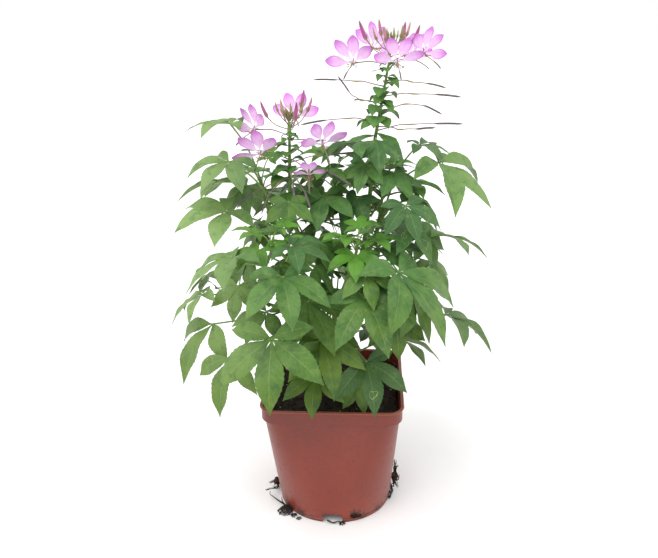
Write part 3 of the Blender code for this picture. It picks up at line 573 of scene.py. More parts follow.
stemLines = {  # the middle line of each stem
    "main": [(-0.002, 0, 0.112), (0, 0.0026, 0.157), (0, 0.0039, 0.199), (-0.0182, 0.0052, 0.229),
             (-0.0338, 0.0039, 0.259), (-0.0345, 0.0013, 0.2815)],
    "right": [(0, 0.004, 0.186), (0.013, 0.0065, 0.196), (0.0247, 0.0104, 0.226), (0.0293, 0.013, 0.262),
              (0.0319, 0.013, 0.292), (0.0345, 0.0117, 0.325)],
    "upperLeft": [(-0.026, 0.0045, 0.243), (-0.0429, 0.0117, 0.244), (-0.0546, 0.0117, 0.268),
                  (-0.0579, 0.0104, 0.292)],
    "upperRight": [(0.026, 0.011, 0.230), (0.0364, 0.0208, 0.238), (0.0403, 0.0234, 0.262),
                   (0.0429, 0.0208, 0.286)],
    "centre": [(0.015, 0.008, 0.205), (0.0117, 0.026, 0.22), (0.0065, 0.0312, 0.256), (0, 0.0208, 0.2965)],
    "frontLeft": [(-0.002, 0.003, 0.203), (-0.0195, -0.0208, 0.217), (-0.0377, -0.0416, 0.244)],
    "front": [(0, 0.003, 0.199), (0.0078, -0.0208, 0.2095), (0.0156, -0.039, 0.238)],
}

innerLeaves = {
    "blades": (0.024, 0.034), "angles": (0, 50, -50, 104, -104), "shares": (1.0, 0.93, 0.93, 0.64, 0.64),
    "widthShare": 0.40, "tries": 14, "stations": 14,
    "rows": [  # stem, first and last share, leaves, first heading, reach and rise in mm, dip in degrees
        ("main", 0.30, 0.62, 7, 250, 30, 8, 34), ("main", 0.66, 0.98, 10, 240, 22, 7, 38),
        ("right", 0.15, 0.50, 8, 290, 28, 6, 34), ("right", 0.55, 0.98, 12, 200, 22, 6, 36),
        ("centre", 0.30, 0.95, 8, 270, 20, 5, 36), ("upperLeft", 0.4, 0.9, 4, 200, 18, 5, 34),
        ("upperRight", 0.4, 0.95, 5, 300, 18, 5, 34), ("frontLeft", 0.35, 0.8, 4, 260, 20, 4, 34),
        ("front", 0.35, 0.8, 4, 280, 20, 4, 34), ("main", 0.06, 0.30, 6, 300, 34, 12, 38)],
    "fillers": [  # between the large leaves: hub, heading and dip in degrees, blade
        ((0.0627, -0.0300, 0.2090), -35, 55, 0.044),
        ((0.0498, -0.0350, 0.1885), -70, 60, 0.036),
        ((0.0731, 0.0000, 0.2464), -15, 42, 0.038),
        ((0.0819, 0.0100, 0.2200), -30, 45, 0.036),
        ((-0.0999, -0.0100, 0.2207), 200, 42, 0.036),
        ((-0.0708, 0.0000, 0.2291), 215, 45, 0.036),
        ((-0.0779, -0.0200, 0.2120), 230, 45, 0.034),
        ((-0.0601, 0.0200, 0.2452), 190, 40, 0.034),
        ((0.0726, 0.0300, 0.2662), 10, 38, 0.034),
        ((0.0563, 0.0000, 0.2586), -40, 45, 0.032),
    ],
}


Leaflet = namedtuple("Leaflet", "centres width")  # what addBlade reads of a limb


def leafletsAt(hub, heading, dip, blade, count):
    look = innerLeaves
    flat = Vector((math.cos(heading), math.sin(heading), 0))
    forward = flat * math.cos(dip) - up * math.sin(dip)
    facing = flat * math.sin(dip) + up * math.cos(dip)
    made = []
    for angle, share in list(zip(look["angles"], look["shares"]))[:count]:
        way = Matrix.Rotation(math.radians(angle), 3, facing) @ forward
        length = blade * share
        made.append(Leaflet([hub + way * length * t - facing * length * 0.22 * t * t
                             for t in (0.03, 0.35, 0.7, 1.0)], length * look["widthShare"]))
    return facing, made


def crossesAny(leaflets, trees):
    points, faces = [], []
    for leaflet in leaflets:
        way = (leaflet.centres[-1] - leaflet.centres[0]).normalized()
        side = way.cross(up).normalized() * leaflet.width / 2
        first = len(points)
        points += [leaflet.centres[0] + way * 0.004, leaflet.centres[1] + side, leaflet.centres[3],
                   leaflet.centres[1] - side]
        faces.append((first, first + 1, first + 2, first + 3))
    tree = BVHTree.FromPolygons(points, faces)
    return any(tree.overlap(other) for other in trees), tree


def stalkBack(hub, start, far, high, low):  # an arch from a leaf's hub to its stem
    return [hub.lerp(start, 0.35) + up * far * high, hub.lerp(start, 0.75) + up * far * low, start]


def makeInnerLeaves(material):
    look = innerLeaves
    trees = []
    for name, node in cadNodes.items():
        if name not in ("pot", "potting_soil"):
            trees.append(BVHTree.FromPolygons([v.co for v in node.data.vertices],
                                              [tuple(f.vertices) for f in node.data.polygons]))
    rand = random.Random(77)
    shape = Shape()
    placed = 0
    for stem, low, high, count, first, reach, rise, dip in look["rows"]:
        line, _ = smoothPath([Vector(point) for point in stemLines[stem]], 60)
        for k in range(count):
            start = line[round(60 * blend(low, high, k / max(count - 1, 1)))]
            for turn in range(look["tries"]):
                heading = math.radians(first + goldenAngle * k + rand.uniform(-6, 6) * (1 + turn))
                out = Vector((math.cos(heading), math.sin(heading), 0))
                far = reach * mm * rand.uniform(0.7, 1.3)
                hub = start + out * far + up * rise * mm * rand.uniform(0.2, 1.6)
                blade = rand.uniform(*look["blades"])
                facing, leaflets = leafletsAt(hub, heading + rand.uniform(-0.3, 0.3),
                                              math.radians(dip + rand.uniform(-12, 12)), blade,
                                              3 if rand.random() < 0.25 else 5)
                hit, tree = crossesAny(leaflets, trees)
                if hit:
                    continue
                trees.append(tree)
                path = stalkBack(hub, start, far, 0.10, 0.04)
                addLeaf(shape, hub, facing, leaflets, path, 0.06, look["stations"], 900 + placed)
                placed += 1
                break
    lines = [[Vector(point) for point in points] for points in stemLines.values()]
    for hub, heading, dip, blade in look["fillers"]:
        hub = Vector(hub)
        for turn in range(look["tries"]):
            toward = math.radians(heading + rand.uniform(-9, 9) * turn)
            facing, leaflets = leafletsAt(hub, toward, math.radians(dip), blade * (1 - 0.03 * turn), 5)
            hit, tree = crossesAny(leaflets, trees)
            if not hit:
                break
        else:
            continue
        trees.append(tree)
        near = [place for line in lines for place in smoothPath(line, 40)[0] if place.z < hub.z - 0.004]
        start = min(near, key=lambda place: (place - hub).length)
        far = (start - hub).length
        path = stalkBack(hub, start, far, 0.12, 0.06)
        addLeaf(shape, hub, facing, leaflets, path, 0.03, look["stations"], 900 + placed)
        placed += 1
    print("inner leaves:", placed)
    return claim(shape.build("innerLeaves", material), "leaf")


stemLook = {"green": rgb(104, 136, 62), "low": rgb(118, 126, 70), "pale": rgb(140, 164, 92),
            "purple": rgb(120, 92, 92), "hairLength": 0.0009, "hairDensity": 26000.0, "endReach": 0.0008}


def stemFinish():
    look = stemLook
    stem = Finish("hairyStem", Roughness=0.55, Specular_IOR_Level=0.3)
    height = stem.split(stem.place)[2]
    streaks = stem.cloud(120, 3, 0.6, stem.scaled(stem.place, (6, 6, 0.6)))
    green = stem.mix(look["low"], look["green"], height.rise(0.11, 0.20))
    green = stem.coats(green, look, ("pale", streaks.rise(0.45, 0.75) * 0.6),
                       ("purple", stem.cloud(40, 3).rise(0.60, 0.80) * 0.25))
    return stem.show(green, 0.55, [(streaks, 0.4, 0.0003)])


def finished(piece, levels=2):  # subdivides and keeps the result as a plain mesh
    smooth = piece.modifiers.new("smooth", "SUBSURF")
    smooth.levels = smooth.render_levels = levels
    return plain(piece)


def plain(piece):  # the evaluated shape as a mesh of its own, with no modifier left
    graph = bpy.context.evaluated_depsgraph_get()
    mesh = bpy.data.meshes.new_from_object(piece.evaluated_get(graph), depsgraph=graph)
    old = piece.data
    piece.modifiers.clear()
    piece.data = mesh
    bpy.data.meshes.remove(old)
    return piece


def barkOf(name, mesh, gone, material):
    data = axisTube(mesh, gone)
    mesh.free()
    data.materials.append(material)
    return finished(addPiece(name, data))


def makeShoot(name, leafMaterial, stemMaterial, seed):
    mesh = welded(name)
    shape = Shape()
    gone = set()
    high = max(v.co.z for v in mesh.verts) - leafShape["youngestReach"]
    for number, leaflets in enumerate(bunches(limbsOf(mesh))):
        hub = {v for limb in leaflets for v in limb.root}
        path, seen = stalkOf(hub, leaflets)
        gone |= seen
        young = leafShape["youngest"] if middle([v.co for v in hub]).z > high else leafShape["younger"]
        addLeaf(shape, *hubOf(leaflets), leaflets, path, young, leafShape["youngStations"], seed + number)
    stem = barkOf(name + "Axis", mesh, gone, stemMaterial)
    leaves = shape.build(name + "Leaves", leafMaterial)
    return claim(stem, "stem"), claim(leaves, "young_leaf", name)


petalLook = {
    "tip": rgb(200, 104, 206), "middle": rgb(240, 194, 241), "base": rgb(243, 218, 243),
    "line": rgb(204, 120, 206), "back": rgb(222, 170, 224),
    "stations": 22, "half": 5, "thickness": 0.00030, "breadth": 1.06, "fold": 0.10, "wave": 0.05,
    "teeth": 0.0, "quilt": 0.0,
    "outline": [(0, 0.10), (0.16, 0.12), (0.25, 0.26), (0.36, 0.60), (0.48, 0.88), (0.60, 1.0),
                (0.73, 0.97), (0.84, 0.78), (0.92, 0.52), (0.97, 0.30), (1, 0.10)],
}


def petalFinish():
    look = petalLook
    petal = Finish("lilacPetal", Roughness=0.5, Specular_IOR_Level=0.25,
                   Subsurface_Weight=0.15, Subsurface_Radius=(0.004, 0.002, 0.004),
                   Subsurface_Scale=0.3)
    u, v = petal.across()
    under = petal.tone()[2]
    side = u.distance(0.5) * 2
    colour = petal.mix(look["base"], look["middle"], v.rise(0.12, 0.50))
    streak = petal.cloud(1.0, 2, 0.5, petal.plane(u * 26, v * 2))
    lines = streak.rise(0.52, 0.66) * (1 - v.rise(0.7, 1.0))
    rims = side.rise(0.6, 1.0) * v.rise(0.3, 0.6)
    colour = petal.coats(colour, look, ("tip", v.rise(0.58, 1.0) * 0.85 + rims * 0.45),
                         ("line", lines * 0.35), ("back", under * 0.35))
    return petal.show(colour, 0.5, [(streak, 0.3, 0.0002)])


flowerLook = {
    "stalk": rgb(128, 120, 92), "blush": rgb(128, 84, 100), "yellow": rgb(168, 142, 74),
    "brown": rgb(120, 92, 50), "podDark": rgb(74, 64, 78), "podPale": rgb(100, 88, 92),
    "stamens": 6, "stamenLength": 0.0062, "sepalLength": 0.0036,
    # radii and tones along a flower's stalk and along the young pod that stands out of its heart
    "stalkRadii": [(0, 0.0010), (0.15, 0.0005), (1, 0.0004)],
    "stalkTones": [(0, (0, 0.9, 0.2)), (0.15, (0, 0.1, 0.8)), (1, (0, 0.0, 0.5))],
    "pistilRadii": [(0, 0.0004), (0.55, 0.00036), (0.62, 0.0006), (0.95, 0.0006), (1, 0.0002)],
    "pistilTones": [(0, (0, 0.5, 0.5)), (0.5, (0, 0.1, 0.6)), (0.6, (0.4, 0.1, 0.2)), (1, (0.8, 0.0, 0))],
}


def stalkFinish():  # tone: x is 0 green to 1 dark pod, y is yellow, z is blush
    look = flowerLook
    stalk = Finish("flowerStalk", Roughness=0.5, Specular_IOR_Level=0.3, Sheen_Weight=0.15)
    pod, yellow, blush = stalk.tone()
    grain = stalk.cloud(700, 3)
    patch = stalk.cloud(160, 3)
    colour = stalk.mix(look["stalk"], look["blush"], blush * patch.rise(0.3, 0.6))
    colour = stalk.mix(colour, stalk.mix(look["podPale"], look["podDark"], patch.rise(0.32, 0.55)), pod)
    colour = stalk.coats(colour, look, ("yellow", yellow),
                         ("brown", grain.rise(0.55, 0.75) * yellow * 0.7))
    return stalk.show(colour, 0.5, [(grain, 0.3, 0.0001)])


def addSepals(shape, heart, facing, seed):
    look = flowerLook
    rand = random.Random(seed)
    across = facing.orthogonal().normalized()
    for k in range(4):
        turn = math.pi / 4 + k * math.pi / 2 + rand.uniform(-0.2, 0.2)
        out = Matrix.Rotation(turn, 3, facing) @ across
        length = look["sepalLength"] * rand.uniform(0.85, 1.15)
        path = [heart - facing * 0.0008, heart + out * length * 0.5 - facing * 0.0006,
                heart + out * length - facing * (0.0012 + rand.uniform(0, 0.0008))]
        addTube(shape, path, [(0, 0.0005), (0.4, 0.0006), (1, 0.0001)],
                [(0, (0.0, 0.1, 0.3)), (1, (0.0, 0.0, 0.9))], 6, 6)


def addStamens(shape, heart, facing, seed):
    look = flowerLook
    rand = random.Random(seed)
    across = facing.cross(up).normalized()
    for k in range(look["stamens"]):
        swing = math.radians(blend(-65, 65, k / (look["stamens"] - 1)) + rand.uniform(-9, 9))
        way = (facing * 0.75 - up * (0.30 + rand.uniform(0, 0.2)) + across * math.sin(swing) * 0.8).normalized()
        length = look["stamenLength"] * rand.uniform(0.8, 1.2)
        end = heart + way * length + up * 0.0012
        path = [heart + facing * 0.0006, heart + way * length * 0.5, end]
        addTube(shape, path, [(0, 0.00022), (1, 0.00016)], [(0, (0, 0.2, 0.6)), (1, (0, 0.0, 1.0))], 5, 6)
        cap = (way + up * 0.8).normalized() * 0.0011
        addTube(shape, [end - cap, end, end + cap], [(0, 0.00012), (0.3, 0.0004), (0.7, 0.0004), (1, 0.00012)],
                [(0, (0.1, 0.8, 0)), (1, (0.2, 0.8, 0))], 6, 5)


def facingOf(petals, heart):
    facing = Vector()
    for limb in petals:
        for other in petals:
            turn = (limb.centres[-1] - heart).cross(other.centres[-1] - heart)
            facing += turn if turn.y < 0 else -turn
    return facing.normalized()


def makeFlower(name, petalMaterial, stalkMaterial, seed):
    look = flowerLook
    mesh = welded(name)
    limbs = limbsOf(mesh)
    petals = sorted(limbs, key=lambda limb: -limb.width)[:4]
    rest = [limb for limb in limbs if limb not in petals]
    heart = middle([limb.centres[0] for limb in petals])
    facing = facingOf(petals, heart)
    stalk = max(rest, key=lambda limb: -(limb.centres[-1] - heart).dot(facing))
    blades = Shape()
    for number, limb in enumerate(petals):
        limb.centres[0] = heart.lerp(limb.centres[0], 0.5)
        addBlade(blades, limb, facing, 0.0, petalLook["stations"], seed * 17 + number, petalLook)
    thin = Shape()
    for limb in rest:
        if limb is stalk:
            addTube(thin, limb.centres, look["stalkRadii"], look["stalkTones"], 8, 16)
        else:
            addTube(thin, limb.centres, look["pistilRadii"], look["pistilTones"], 8, 18)
    addSepals(thin, heart, facing, seed)
    addStamens(thin, heart, facing, seed + 1)
    petalsPiece = claim(blades.build(name + "Petals", petalMaterial), "petal", name)
    claim(thin.build(name + "Heart", stalkMaterial), "petal")
    mesh.free()
    return petalsPiece


budLook = {
    "pink": rgb(166, 80, 134), "tip": rgb(106, 50, 80), "green": rgb(136, 134, 76),
    "cream": rgb(216, 178, 160),
    "spread": 0.017, "climb": 0.008, "squat": 0.55, "smallBuds": 16,
    "outline": [(0, 0.45), (0.12, 0.8), (0.40, 1), (0.62, 0.92), (0.82, 0.62), (0.94, 0.32), (1, 0.12)],
    "smallOutline": [(0, 0.5), (0.3, 1), (0.65, 0.85), (1, 0.15)],
}


def budFinish():  # tone: x is age, y is the green calyx
    look = budLook
    bud = Finish("roseBud", Roughness=0.48, Specular_IOR_Level=0.3, Sheen_Weight=0.3)
    u, v = bud.across()
    age, calyx, _ = bud.tone()
    grain = bud.cloud(500, 3)
    lines = bud.cloud(1.0, 2, 0.5, bud.plane(u * 9, v * 1.5))
    colour = bud.mix(look["pink"], look["tip"], v.rise(0.55, 1.0) * 0.8 + lines.rise(0.5, 0.7) * 0.25)
    colour = bud.mix(colour, look["cream"], age.rise(0.85, 0.55) * v.rise(0.1, 0.5) * 0.7)
    colour = bud.mix(look["green"], colour, age.rise(0.35, 0.75) * v.rise(-0.2, 0.25))
    colour = bud.coats(colour, look, ("green", calyx), ("tip", grain.rise(0.55, 0.8) * 0.3))
    return bud.show(colour, 0.48, [(lines, 0.4, 0.0003), (grain, 0.2, 0.0001)])


def swelled(outline, radius):
    return [(place, share * radius) for place, share in outline]


def addBud(stalks, buds, limb, age, odd, base):  # age: 1 for the lowest bud, 0 for the highest
    look = budLook
    root, tip = limb.centres[0], limb.centres[-1]
    out = Vector((tip.x - root.x, tip.y - root.y, 0)).normalized()
    wide = look["spread"] * age ** 1.3
    root.z = base + (root.z - base) * look["squat"]
    foot = root + out * (0.0035 + wide) + up * (0.006 + look["climb"] * age * (0.7 + 0.6 * odd))
    size = (tip - limb.centres[2]).length * (0.75 + 0.35 * age)
    way = (out * (0.16 + 0.28 * age) + up).normalized()
    foot.z = min(foot.z, cadBox[1][2] - 0.0005 - size * way.z)
    tip = foot + way * size
    width = limb.width / 2 * (0.62 + 0.48 * age * age)
    stalk = [root, root.lerp(foot, 0.5) + out * wide * 0.12 - up * wide * 0.10, foot]
    addTube(stalks, stalk, [(0, 0.0004), (0.8, 0.00034), (1, 0.0006)],
            [(0, (0, 0.0, 0.3)), (0.9, (0, 0.2, 0.7)), (1, (0, 0.6, 0.2))], 7, 8)
    body = [foot - (tip - foot) * 0.03, foot] + [foot + way * size * t + out * 0.0003 for t in (0.3, 0.7)]
    addTube(buds, body + [tip], swelled(look["outline"], width), evenTone(age, 0, 0), 12, 18)
    way = (tip - foot).normalized()
    for k in range(4):  # the calyx
        out = Matrix.Rotation(k * math.pi / 2 + 0.4, 3, way) @ way.orthogonal().normalized()
        path = [foot + out * width * 0.5, foot + out * width * 1.05 + way * size * 0.14,
                foot + out * width * 1.22 + way * size * 0.28]
        addTube(buds, path, [(0, 0.00045), (0.5, 0.0004), (1, 0.0001)],
                [(0, (age, 0.9, 0)), (1, (age, 0.7, 0))], 5, 5)


def addSmallBuds(stalks, buds, foot, top, seed):  # the youngest ones crowd round the tip
    look = budLook
    rand = random.Random(seed)
    for number in range(look["smallBuds"]):
        heading, lean = number * 2.4 + rand.uniform(-0.3, 0.3), rand.uniform(0.15, 0.9)
        way = Vector((math.cos(heading) * lean, math.sin(heading) * lean, 1)).normalized()
        start = foot.lerp(top, rand.uniform(0.7, 1.0))
        neck = start + way * rand.uniform(0.003, 0.0065)
        size, width = rand.uniform(0.0032, 0.0055), rand.uniform(0.0006, 0.0009)
        addTube(stalks, [start, start.lerp(neck, 0.5) - up * 0.0003, neck], [(0, 0.00035), (1, 0.0005)],
                [(0, (0, 0, 0.2)), (1, (0, 0.2, 0.2))], 6, 5)
        addTube(buds, [neck - way * 0.0002, neck + way * size * 0.5, neck + way * size],
                swelled(look["smallOutline"], width), [(0, (0, 0, 0)), (1, (0.1, 0, 0))], 8, 8)


def makeBuds(name, budMaterial, stalkMaterial, stemMaterial, seed):
    mesh = welded(name)
    limbs = sorted(limbsOf(mesh), key=lambda limb: limb.centres[0].z)
    base, crown = limbs[0].centres[0].z, limbs[-1].centres[0].z
    core, stalks, buds = Shape(), Shape(), Shape()
    for number, limb in enumerate(limbs):
        addBud(stalks, buds, limb, 1 - number / (len(limbs) - 1), number % 2, base)
    bottom = min(v.co.z for v in mesh.verts)
    foot = middle([v.co for v in mesh.verts if v.co.z < bottom + 0.0012])
    top = foot + up * ((crown - base) * budLook["squat"] + base - foot.z + 0.001)
    mesh.free()
    addTube(core, [foot - up * 0.0006, foot.lerp(top, 0.5), top], [(0, 0.0018), (0.8, 0.0011), (1, 0.0005)],
            plainTone, 10, 10)
    claim(core.build(name + "Core", stemMaterial), "bud")
    addSmallBuds(stalks, buds, foot, top, seed)
    claim(stalks.build(name + "Stalks", stalkMaterial), "bud")
    return claim(buds.build(name + "Buds", budMaterial), "bud", name)


bractLook = dict(leafShape, stations=12, stretch=1.12, breadth=1.4, thickness=0.0003, half=3,
                 quilt=0.03, outline=[(0, 0.12), (0.12, 0.45), (0.28, 0.9), (0.42, 1.0), (0.6, 0.86),
                                      (0.78, 0.5), (0.92, 0.18), (1, 0.02)])

moreBracts = [  # share of the stem's height, heading in degrees, length before the stretch
    (0.80, 175, 0.0095), (0.79, 300, 0.0090), (0.70, 5, 0.0105), (0.63, 200, 0.0140), (0.56, 345, 0.0125),
    (0.52, 90, 0.0110), (0.46, 262, 0.0100), (0.40, 193, 0.0150), (0.34, 70, 0.0140), (0.30, 335, 0.0165),
    (0.26, 205, 0.0175), (0.20, 110, 0.0160), (0.88, 60, 0.0085), (0.90, 215, 0.0080), (0.94, 320, 0.0075),
    (0.96, 140, 0.0065), (0.98, 20, 0.0060), (0.985, 265, 0.0060)]


def addMoreBracts(shape, axis, turn, seed):  # axis: the stem's points without its limbs
    low, high = min(co.z for co in axis), max(co.z for co in axis)
    for number, (share, heading, listed) in enumerate(moreBracts):
        length = listed * bractLook["stretch"]
        level = blend(low, high, share)
        centre = middle([co for co in axis if abs(co.z - level) < 0.008] or axis)
        centre.z = level
        out = Matrix.Rotation(math.radians(heading + turn), 3, "Z") @ Vector((1, 0, 0))
        path = [centre + out * 0.0014, centre + out * length * 0.35 + up * length * 0.16,
                centre + out * length * 0.72 + up * length * 0.06, centre + out * length - up * length * 0.22]
        addBlade(shape, Leaflet(path, length * 0.6), up + out * 0.3, 0.3, bractLook["stations"],
                 seed + number, bractLook)


def makeRaceme(name, leafMaterial, stemMaterial, stalkMaterial, seed):
    mesh = welded(name)
    bracts, pods = Shape(), Shape()
    gone = set()
    for number, limb in enumerate(limbsOf(mesh)):
        gone |= limb.verts
        if limb.width > 0.003:
            way = limb.centres[-1] - limb.centres[0]
            facing = (up - way.normalized() * way.normalized().z).normalized()
            addBlade(bracts, limb, facing, 0.45, bractLook["stations"], seed + number, bractLook)
            continue
        root, tip, last = limb.centres[0], limb.centres[-1], len(limb.centres) - 1
        places = [place.lerp(root.lerp(tip, i / last), 0.4) for i, place in enumerate(limb.centres)]
        rand = random.Random(seed + number)
        thick = rand.uniform(0.00062, 0.00085)
        pod = rand.uniform(0.75, 1.0)
        addTube(pods, places, [(0, 0.00055), (0.06, 0.00042), (0.30, 0.0004), (0.38, 0.00066), (0.41, 0.0006),
                               (0.47, 0.00036), (0.66, 0.00034), (0.71, thick), (0.95, thick), (0.985, 0.00032),
                               (1, 0.0003)],
                [(0, (0, 0.0, 0.2)), (0.3, (0, 0.0, 0.8)), (0.36, (0, 0.5, 0)), (0.41, (0, 0.5, 0)),
                 (0.45, (0.3, 0.1, 0.5)), (0.66, (0.6, 0.0, 0.4)), (0.72, (pod, 0, 0)), (1, (pod, 0, 0))],
                8, 44)
    addMoreBracts(bracts, [v.co.copy() for v in mesh.verts if v not in gone], seed % 70, seed + 40)
    stem = barkOf(name + "Axis", mesh, gone, stemMaterial)
    claim(bracts.build(name + "Bracts", leafMaterial), "raceme")
    claim(pods.build(name + "Pods", stalkMaterial), "raceme")
    return claim(stem, "raceme", name)


potLook = {
    "width": 0.120, "height": 0.116, "corner": 0.013, "foot": 0.0500, "wall": 0.0016, "turn": -3.5,
    "lip": 0.0019, "overhang": 0.0015, "band": 0.0130, "step": 0.0021, "footHeight": 0.0060,
    "footWall": 0.0024, "floor": 0.0018, "notchWidth": 0.0190, "notchHeight": 0.0072, "notchDepth": 0.0090,
    "cornerSteps": 22, "sideSteps": 26, "waviness": 0.0005, "shoulder": 0.0018,
    "footRings": [(0.0, 0.0005), (0.0005, 0.0), (0.0034, 0.0), (0.0038, 0.0005), (0.0047, 0.0005),
                  (0.0052, 0.0)],  # height and inset: the low edge and a thin groove above it
    "wallShares": [0.1, 0.2, 0.32, 0.45, 0.58, 0.7, 0.82, 0.92, 0.985],
    "clay": rgb(119, 41, 25), "light": rgb(135, 52, 31), "dark": rgb(92, 34, 22), "dust": rgb(122, 86, 66),
    "rim": rgb(150, 78, 52),
    "dirt": rgb(52, 38, 30),
    "stains": [((0.0165, -0.0480, 0.0085), 0.0062), ((0.0240, -0.0450, 0.0035), 0.0050),
               ((-0.0300, -0.0400, 0.0040), 0.0060), ((-0.0400, -0.0300, 0.0060), 0.0060),
               ((0.0480, -0.0150, 0.0060), 0.0060), ((0.0535, -0.0030, 0.0140), 0.0060)],
}


def potFinish():
    look = potLook
    pot = Finish("terracottaPlastic", Roughness=0.34, Specular_IOR_Level=0.45, Coat_Weight=0.15,
                 Coat_Roughness=0.22)
    z = pot.split(pot.place)[2]
    flow = pot.cloud(14, 5, 0.65, pot.scaled(pot.place, (1, 1, 0.8)), 0.6)
    speck = pot.cloud(260, 4, 0.65)
    fine = pot.cloud(1500, 2)
    # painted shade: the clay is painted darker towards the top, under the leaves, and lighter towards the
    # bottom; the flow and speck clouds are the clay's own mottling and darker flecks
    colour = pot.mix(look["clay"], look["light"], flow.rise(0.46, 0.64) * 0.35 + z.rise(0.05, 0.0) * 0.35)
    dusty = speck.rise(0.50, 0.70) * pot.cloud(30, 3).rise(0.48, 0.65)
    flecksAndTopShade = flow.rise(0.48, 0.32) * 0.3 + speck.rise(0.52, 0.66) * 0.4 + z.rise(0.06, 0.115) * 0.3
    # painted highlight: the top of the rolled lip is painted lighter with the rim colour
    colour = pot.coats(colour, look, ("dark", flecksAndTopShade), ("rim", z.rise(0.1142, 0.1156) * 0.7),
                       ("dust", dusty * (0.16 + z.rise(0.05, 0.0) * 0.25)))
    muck = pot.cloud(85, 4, 0.65).rise(0.50, 0.62) * z.rise(0.016, 0.002) + z.rise(0.0035, 0.0) * 0.4
    edge = (pot.cloud(420, 5, 0.8) - 0.5) * 2.6
    for centre, radius in look["stains"]:
        muck = muck.greater((pot.apart(centre) / radius + edge).rise(1.0, 0.5) * speck.rise(0.30, 0.5))
    colour = pot.mix(colour, look["dirt"], muck * 0.8)
    scratch = pot.cloud(40, 3, 0.7, pot.scaled(pot.place, (1, 1, 14)))
    rough = 0.36 + flow * 0.10 + dusty * 0.25 + muck * 0.3 + scratch.rise(0.6, 0.7) * 0.05
    return pot.show(colour, rough, [(flow, 0.35, 0.0012), (scratch, 0.10, 0.0002), (fine, 0.10, 0.00006)])


def squareRing(half, corner, height):  # a square with round corners, many points on each straight side
    look = potLook
    straight = half - corner
    ring = []
    for quarter in range(4):
        turned = Matrix.Rotation(math.pi / 2 * quarter, 3, "Z")
        for step in range(look["cornerSteps"] + 1):
            turn = math.pi / 2 * step / look["cornerSteps"]
            point = Vector((straight + math.cos(turn) * corner, straight + math.sin(turn) * corner, height))
            ring.append(turned @ point)
        for step in range(1, look["sideSteps"]):
            point = Vector((straight - 2 * straight * step / look["sideSteps"], half, height))
            ring.append(turned @ point)
    return ring


def bodyRing(height, inset):
    look = potLook
    share = height / (look["height"] - look["band"])
    topHalf = look["width"] / 2 - look["overhang"] - look["step"]
    half = blend(look["foot"], topHalf, share) - inset
    corner = blend(look["foot"] * 0.96, look["corner"], share) - inset
    return squareRing(half, corner, height)


def wavy(ring, amount):  # the thin wall is never quite straight
    moved = []
    for p in ring:
        level = noise.noise(Vector((p.x * 45, p.y * 45, 1.7)))
        way = Vector((p.x, p.y, 0)).normalized()
        moved.append(p - way * abs(level) * amount * 1.4 - up * abs(level) * amount)
    return moved


def makePot(material):
    look = potLook
    half, corner, height, wall = look["width"] / 2, look["corner"], look["height"], look["wall"]
    band, step, roll = half - look["overhang"], look["step"], look["lip"] / 2
    bandFoot, lipFoot, inner = height - look["band"], height - look["lip"], band - wall
    inside = bodyRing(look["footHeight"], look["footWall"])
    rings = [inside, [Vector((p.x, p.y, 0.0004)) for p in inside],
             [Vector((p.x * 1.006, p.y * 1.006, 0.0)) for p in inside]]
    rings += [bodyRing(*row) for row in look["footRings"]]
    rings += [bodyRing(bandFoot * share, 0.0) for share in look["wallShares"]]
    rings.append(bodyRing(bandFoot, -0.0002))
    for share in (0.5, 0.9, 1.0):  # the step out to the band
        back = step * (1 - share)
        rings.append(squareRing(band - back, corner - back, bandFoot + step * 0.45 * share ** 2))
    for level in (bandFoot + 0.0035, bandFoot + 0.0075, lipFoot - 0.0004):
        rings.append(squareRing(band, corner, level))
    lip = []
    for k in range(9):  # round the rolled lip from below to above
        turn = math.pi * (k / 8) - math.pi / 2
        out = half - roll + math.cos(turn) * roll
        lip.append(squareRing(out, corner + out - band, lipFoot + roll + math.sin(turn) * roll))
    lip.append(squareRing(inner + 0.0004, corner - wall, height - 0.0002))
    rings += [wavy(ring, look["waviness"]) for ring in lip]
    rings += [squareRing(inner, corner - wall, level) for level in (height - 0.0012, bandFoot + step)]
    rings += [bodyRing(level, wall) for level in (bandFoot, bandFoot * 0.5, look["footHeight"] + look["floor"])]
    spin = Matrix.Rotation(math.radians(look["turn"]), 3, "Z")
    shape = Shape()
    shape.loft([shape.ring([spin @ p for p in ring]) for ring in rings])
    pot = shape.build("nurseryPot", material)
    for quarter in range(4):
        cutNotch(pot, math.radians(90 * quarter + look["turn"]))
    plain(pot)
    for cutter in [o for o in bpy.data.objects if o.name.startswith("notchCutter")]:
        bpy.data.objects.remove(cutter)
    pot.data.set_sharp_from_angle(angle=math.radians(40))
    return claim(pot, "pot_plastic", "pot")


def cutNotch(pot, heading):
    look = potLook
    top, bottom = look["notchWidth"] * 0.42, look["notchWidth"] * 0.5
    inner, outer = look["foot"] - look["notchDepth"], look["foot"] + look["footWall"] * 2
    roof, bend = look["notchHeight"] + look["wall"], look["shoulder"]
    profile = [(-bottom, -look["footHeight"]), (bottom, -look["footHeight"])]
    for k in range(7):  # the roof of the notch has rounded shoulders
        turn = math.pi / 2 * k / 6
        profile.append((top - bend + bend * math.cos(turn), roof - bend + bend * math.sin(turn)))
    profile += [(-y, z) for y, z in reversed(profile[2:])]
    cutter = Shape()
    spin = Matrix.Rotation(heading, 3, "Z")
    cutter.loft([cutter.ring([spin @ Vector((x, y, z)) for y, z in profile]) for x in (inner, outer)])
    tool = cutter.build("notchCutter")
    outward(tool)
    tool.hide_render = True
    cut = pot.modifiers.new("notch", "BOOLEAN")
    cut.operation = "DIFFERENCE"
    cut.solver = "EXACT"
    cut.object = tool


def outward(piece):
    mesh = bmesh.new()
    mesh.from_mesh(piece.data)
    bmesh.ops.recalc_face_normals(mesh, faces=mesh.faces)
    mesh.to_mesh(piece.data)
    mesh.free()


